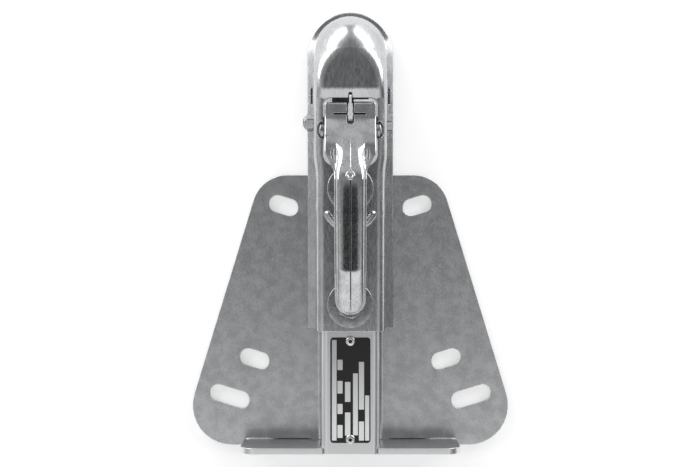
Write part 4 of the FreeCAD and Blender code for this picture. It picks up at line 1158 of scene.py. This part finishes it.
def shank(radius, high, low):
    """Profile of a plain cylinder between two heights."""
    return [(0, high), (radius, high), (radius, low), (0, low)]


def at_bolts(*parts):
    """Each part, given with its height, at both places of the vertical bolts."""
    return [placed(part, (0, place, height)) for place in MOUNT_PLACES for part, height in parts]


seat = HEAD_TOP + LARGE_WASHER[1]
under = HAT_TOP - PLATE_SHEET - SMALL_WASHER[1]
bolts = at_bolts(
    (hexagonal(MOUNT_HEX, bolt_head(MOUNT_HEX, MOUNT_HEAD), MOUNT_TURN - 90), seat),
    (turned(rounded(shank(MOUNT_RADIUS, seat, under - 1.0))), 0.0),
    (thread(MOUNT_RADIUS, MOUNT_PITCH, seat - MOUNT_LENGTH, under - 1.0), 0.0))
nut = hexagonal(MOUNT_HEX, nut_profile(MOUNT_HEX, MOUNT_NUT, MOUNT_RADIUS), MOUNT_TURN)
washers = at_bolts((washer(*LARGE_WASHER, WASHER_BORE), HEAD_TOP))
small_washers = at_bolts((washer(*SMALL_WASHER, WASHER_BORE), under))
piece("m12_bolts", bolts, screw_zinc, "frame_body", ["mount_bolts"], sharp=25)
piece("m12_nuts", at_bolts((nut, under - MOUNT_NUT)), screw_zinc, "frame_body", ["mount_nuts"], sharp=25)
piece("large_washers", washers, screw_zinc, "frame_body", ["mount_washers"], sharp=50)
piece("small_washers", small_washers, screw_zinc, "frame_body", ["lower_washers"], sharp=50)

# %% Jaw pivot
JAW_PIVOT = (0.0, -55.3, 4.7)
JAW_HEX = 13.0
JAW_HEAD = 5.3
JAW_NUT = 8.0
JAW_NUT_HEX = 6.4
JAW_RADIUS = 4.0
JAW_PITCH = 1.25
SLEEVE = (5.5, 4.05, 25.25)
thread_start = -(DOME_RADIUS - 2.0)
thread_end = -(DOME_RADIUS + JAW_NUT + 1.2)
head = hexagonal(JAW_HEX, bolt_head(JAW_HEX, JAW_HEAD), 60)
m8_bolt = [
    placed(head, (DOME_RADIUS, *JAW_PIVOT[1:]), ALONG_X),
    spun(shank(JAW_RADIUS, DOME_RADIUS, thread_start), JAW_PIVOT),
    placed(thread(JAW_RADIUS, JAW_PITCH, thread_end, thread_start), JAW_PIVOT, ALONG_X)]
piece("m8_bolt", m8_bolt, screw_zinc, "frame_body", ["jaw_pivot_bolt"], sharp=25)
collar = rounded([
    (JAW_RADIUS + 0.1, JAW_NUT - 0.4), (JAW_RADIUS + 0.5, JAW_NUT, 0.2), (5.5, JAW_NUT, 0.8),
    (5.5, JAW_NUT_HEX, 0.3), (JAW_HEX * 0.485, JAW_NUT_HEX)]).tolist()
lock_nut = collar + chamfer(JAW_HEX, JAW_NUT_HEX, 1.0)[1:] + [
    (JAW_HEX, 0.3), (JAW_HEX * 0.49, 0.0), (JAW_RADIUS + 0.5, 0.0), (JAW_RADIUS + 0.1, 0.5), collar[0]]
lock_nut = [placed(hexagonal(JAW_HEX, lock_nut, 78), (-DOME_RADIUS, *JAW_PIVOT[1:]), AGAINST_X)]
piece("m8_lock_nut", lock_nut, screw_zinc, "frame_body", ["jaw_pivot_nut"], sharp=25)
outer, bore, half = SLEEVE
sleeve = spun([
    (bore, 0), (bore, half, 0.2), (outer, half, 0.3), (outer, -half, 0.3), (bore, -half, 0.2),
    (bore, 0)], JAW_PIVOT)
piece("pivot_tube", [sleeve], screw_zinc, "frame_body", ["pivot_sleeve"], sharp=50)

# %% Pins
HANDLE_PIVOT = (0.0, -63.2, 18.8)
PIN_NECK = 21.2
PIN_END = 26.5
PIN_HEAD = 7.4
pin = [
    (0, PIN_END), (4.2, PIN_END, 3.5), (PIN_HEAD, 23.9, 1.2), (PIN_HEAD, PIN_NECK, 0.5), (5.0, PIN_NECK)]
pin = spun(pin + [(r, -h, *rest) for r, h, *rest in reversed(pin)], HANDLE_PIVOT)
piece("pivot_pin", [pin], screw_zinc, "frame_body", ["handle_pivot_pin"], sharp=50)

CATCH_PIN = (0.0, -46.0, 22.2)
CATCH_RADIUS = 1.75
CATCH_END = 20.05
pin = spun([
    (0, CATCH_END), (CATCH_RADIUS, CATCH_END, 0.3), (CATCH_RADIUS, -CATCH_END, 0.3),
    (0, -CATCH_END)], CATCH_PIN, steps=32)
piece("catch_pivot", [pin], screw_zinc, "handle_body", ["catch_pin"], sharp=50)

# %% Handle rivet
RIVET_PLACE = -100.8
behind, rivet_top, ahead = handle_sizes(RIVET_PLACE + np.array([-3, 0, 3]))[3]
lean = math.atan((ahead - behind) / 6)
tilted = ((1, 0, 0), (0, math.cos(lean), math.sin(lean)), (0, -math.sin(lean), math.cos(lean)))
rivet = spun([
    (0, 0.75), (1.7, 0.75, 0.6), (2.2, 1.05, 0.4), (3.3, 1.05, 0.7), (3.8, 0.1, 0.3), (3.8, -0.4),
    (0, -0.4)], (0, RIVET_PLACE, rivet_top), tilted)
piece("grip_rivet", [rivet], rivet_metal, "handle_body", ["handle_rivet"], sharp=60)

# %% [markdown]
# ## Type plate
# Black anodised aluminium with light fields for stamped figures, which are left blank here, held
# by two blind rivets whose stems broke off inside their heads.

# %% Type plate
TYPE_HALF = 16.0
TYPE_ENDS = (-312.5, -228.5)
TYPE_CORNER = 2.5
TYPE_THICK = 0.8
TYPE_EDGE = 0.2
FIELD_LIFT = 0.02
STEM_PLACES = (-231.3, -309.7)
TYPE_FIELDS = (
    # left and right edge, then front and rear end of each field
    (-14.7, -11.0, (-230.3, -310.5)),
    (-10.3, -6.2, (-246.1, -254.3, -263.0, -273.0, -281.3, -289.3, -298.1, -308.4)),
    (-4.3, 0.0, (-263.8, -279.7, -288.1, -306.5)),
    (2.1, 6.0, (-257.0, -306.3)),
    (6.8, 10.9, (-247.8, -285.8, -295.3, -310.5)),
    (11.7, 15.0, (-274.6, -310.5)),
)
base = HAT_TOP + TYPE_THICK
type_outline = rectangle((-TYPE_HALF, TYPE_HALF), TYPE_ENDS, TYPE_CORNER)
type_plate = flat_plate(type_outline, base, HAT_TOP, TYPE_EDGE)
piece("type_plate_sheet", type_plate, black_print, "frame_body", ["type_plate"])
fields = []
for left, right, ends in TYPE_FIELDS:
    for front, rear in zip(ends[::2], ends[1::2]):
        field = rectangle((left, right), (rear, front), 0.3, 3)
        fields.append((np.insert(field, 2, base + FIELD_LIFT, axis=1), [list(range(len(field)))]))
piece("type_plate_fields", fields, blank_print, "frame_body")

# %% Blind rivets
rivet = [
    (0, -1.4), (1.25, -1.5), (1.35, 1.45, 0.2), (1.9, 1.6, 0.8), (3.4, 1.2, 1.5), (4.0, 0.3, 0.3),
    (4.0, 0.03), (2.0, 0.0), (2.0, -5.9), (3.0, -6.6, 0.6), (2.6, -8.4, 0.6), (0, -8.8)]
rivets = [spun(rivet, (0, y, base), None, 48) for y in STEM_PLACES]
piece("blind_rivets", rivets, rivet_metal, "frame_body", ["type_plate_rivets"], sharp=50)
# painted shade: the broken stems deep in the rivet heads are dark as the shade in their holes
stem = [(0, -0.6), (1.2, -0.7, 0.1), (1.2, -1.3), (0, -1.3)]
stems = [spun(stem, (0, y, base), None, 32) for y in STEM_PLACES]
piece("rivet_stems_painted_shade", stems, painted_shade, "frame_body", sharp=50)

# %% [markdown]
# ## Springs and inner parts
# A spring is a circle carried along a helix. Jaw, cam plates and catch are plain plates and
# castings whose CAD faces are right already: they get their points merged, and a bevel, since
# every real edge is a little round and shows as a thin bright line.

# %% Springs
def swept(path, radius, sides=12):
    """Round wire along a path, closed at both ends. X is never along the path, so the cross product
    with X gives one side of the circle and a second product the other."""
    along = np.gradient(path, axis=0)
    along = along / np.linalg.norm(along, axis=1, keepdims=True)
    side = np.cross(along, (1.0, 0.0, 0.0))
    side = side / np.linalg.norm(side, axis=1, keepdims=True)
    other = np.cross(side, along)
    angle = np.linspace(0, 4 * QUARTER, sides, endpoint=False)
    ring = side[:, None] * np.cos(angle)[:, None] + other[:, None] * np.sin(angle)[:, None]
    rows = path[:, None] + radius * ring
    ends = [np.repeat(path[i][None, None], sides, axis=1) for i in (0, -1)]
    rows = np.concatenate([ends[0], rows, ends[1]])
    return rows.reshape(-1, 3), grid_faces(len(rows), sides, wrap_columns=True)


def helix(radius, pitch, first, last, legs=(0.0, 0.0)):
    """Coil about X from angle first to last, in degrees from its lowest point, with straight legs."""
    degrees = np.linspace(first, last, int((last - first) / 7.5))
    angle = np.radians(degrees)
    along = pitch * (degrees - (first + last) / 2) / 360
    coil = np.stack([along, radius * np.sin(angle), -radius * np.cos(angle)], axis=-1)
    ahead = [np.array([0.0, math.cos(a), math.sin(a)]) for a in (angle[0], angle[-1])]
    leg = [coil[0] - ahead[0] * legs[0] * t for t in np.linspace(1, 0.1, 6)] if legs[0] else []
    end = [coil[-1] + ahead[1] * legs[1] * t for t in np.linspace(0.1, 1, 6)] if legs[1] else []
    return np.concatenate([leg, coil, end]) if legs[0] else coil


COILS = (
    # name, node, body, path, radius of the wire, place
    ("jaw_coil", "jaw_spring", "frame_body", helix(6.5, 2.0, 243, 1080, (11.0, 7.0)), 0.9,
     (-5.4, *JAW_PIVOT[1:])),
    ("catch_coil", "catch_spring", "handle_body", helix(2.4, 1.25, 0, 1440), 0.5,
     (5.3, *CATCH_PIN[1:])),
)
# the springs' darker wire is painted shade
for name, node, body, path, radius, place in COILS:
    piece(name, [placed(swept(path, radius), place)], spring_wire, body, [node], sharp=60)

LEG_RADIUS = 1.0
LEG_ENDS = (2.6, 17.6)
LEG_PLACE = (0, -40.1, 26.4)
near, far = LEG_ENDS
leg = spun([
    (0, far), (LEG_RADIUS, far, 0.4), (LEG_RADIUS, near, 0.4), (0, near)], LEG_PLACE, steps=24)
piece("catch_spring_leg", [leg], catch_zinc, "handle_body", sharp=60)


# %% Bevelled plates and casting
def bevelled(name, node, finish, body, width):
    """Copy of a CAD node with its points merged, and its sharp edges rounded by a Bevel modifier."""
    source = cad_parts[node]
    mesh = source.data.copy()
    mesh.transform(source.matrix_world)
    mesh.materials.clear()
    shape = bmesh.new()
    shape.from_mesh(mesh)
    bmesh.ops.remove_doubles(shape, verts=shape.verts, dist=WELD * MM)
    bmesh.ops.dissolve_limit(shape, angle_limit=math.radians(1.5), verts=shape.verts, edges=shape.edges)
    shape.to_mesh(mesh)
    shape.free()
    mesh.shade_smooth()
    mesh.set_sharp_from_angle(angle=math.radians(40))
    made = enter(name, mesh, finish, body, [node])
    edge = made.modifiers.new("edge", "BEVEL")
    edge.width = width * MM
    edge.segments = 3
    edge.limit_method = "ANGLE"
    edge.angle_limit = math.radians(40)
    edge.harden_normals = True


# the jaw's dark finish is painted shade
bevelled("jaw_casting", "locking_jaw", jaw_zinc_painted_dark, "jaw_body", 0.5)
bevelled("cam_bracket", "cam_plates", handle_zinc, "handle_body", 0.3)
bevelled("catch_plate", "safety_catch", catch_zinc, "catch_body", 0.7)
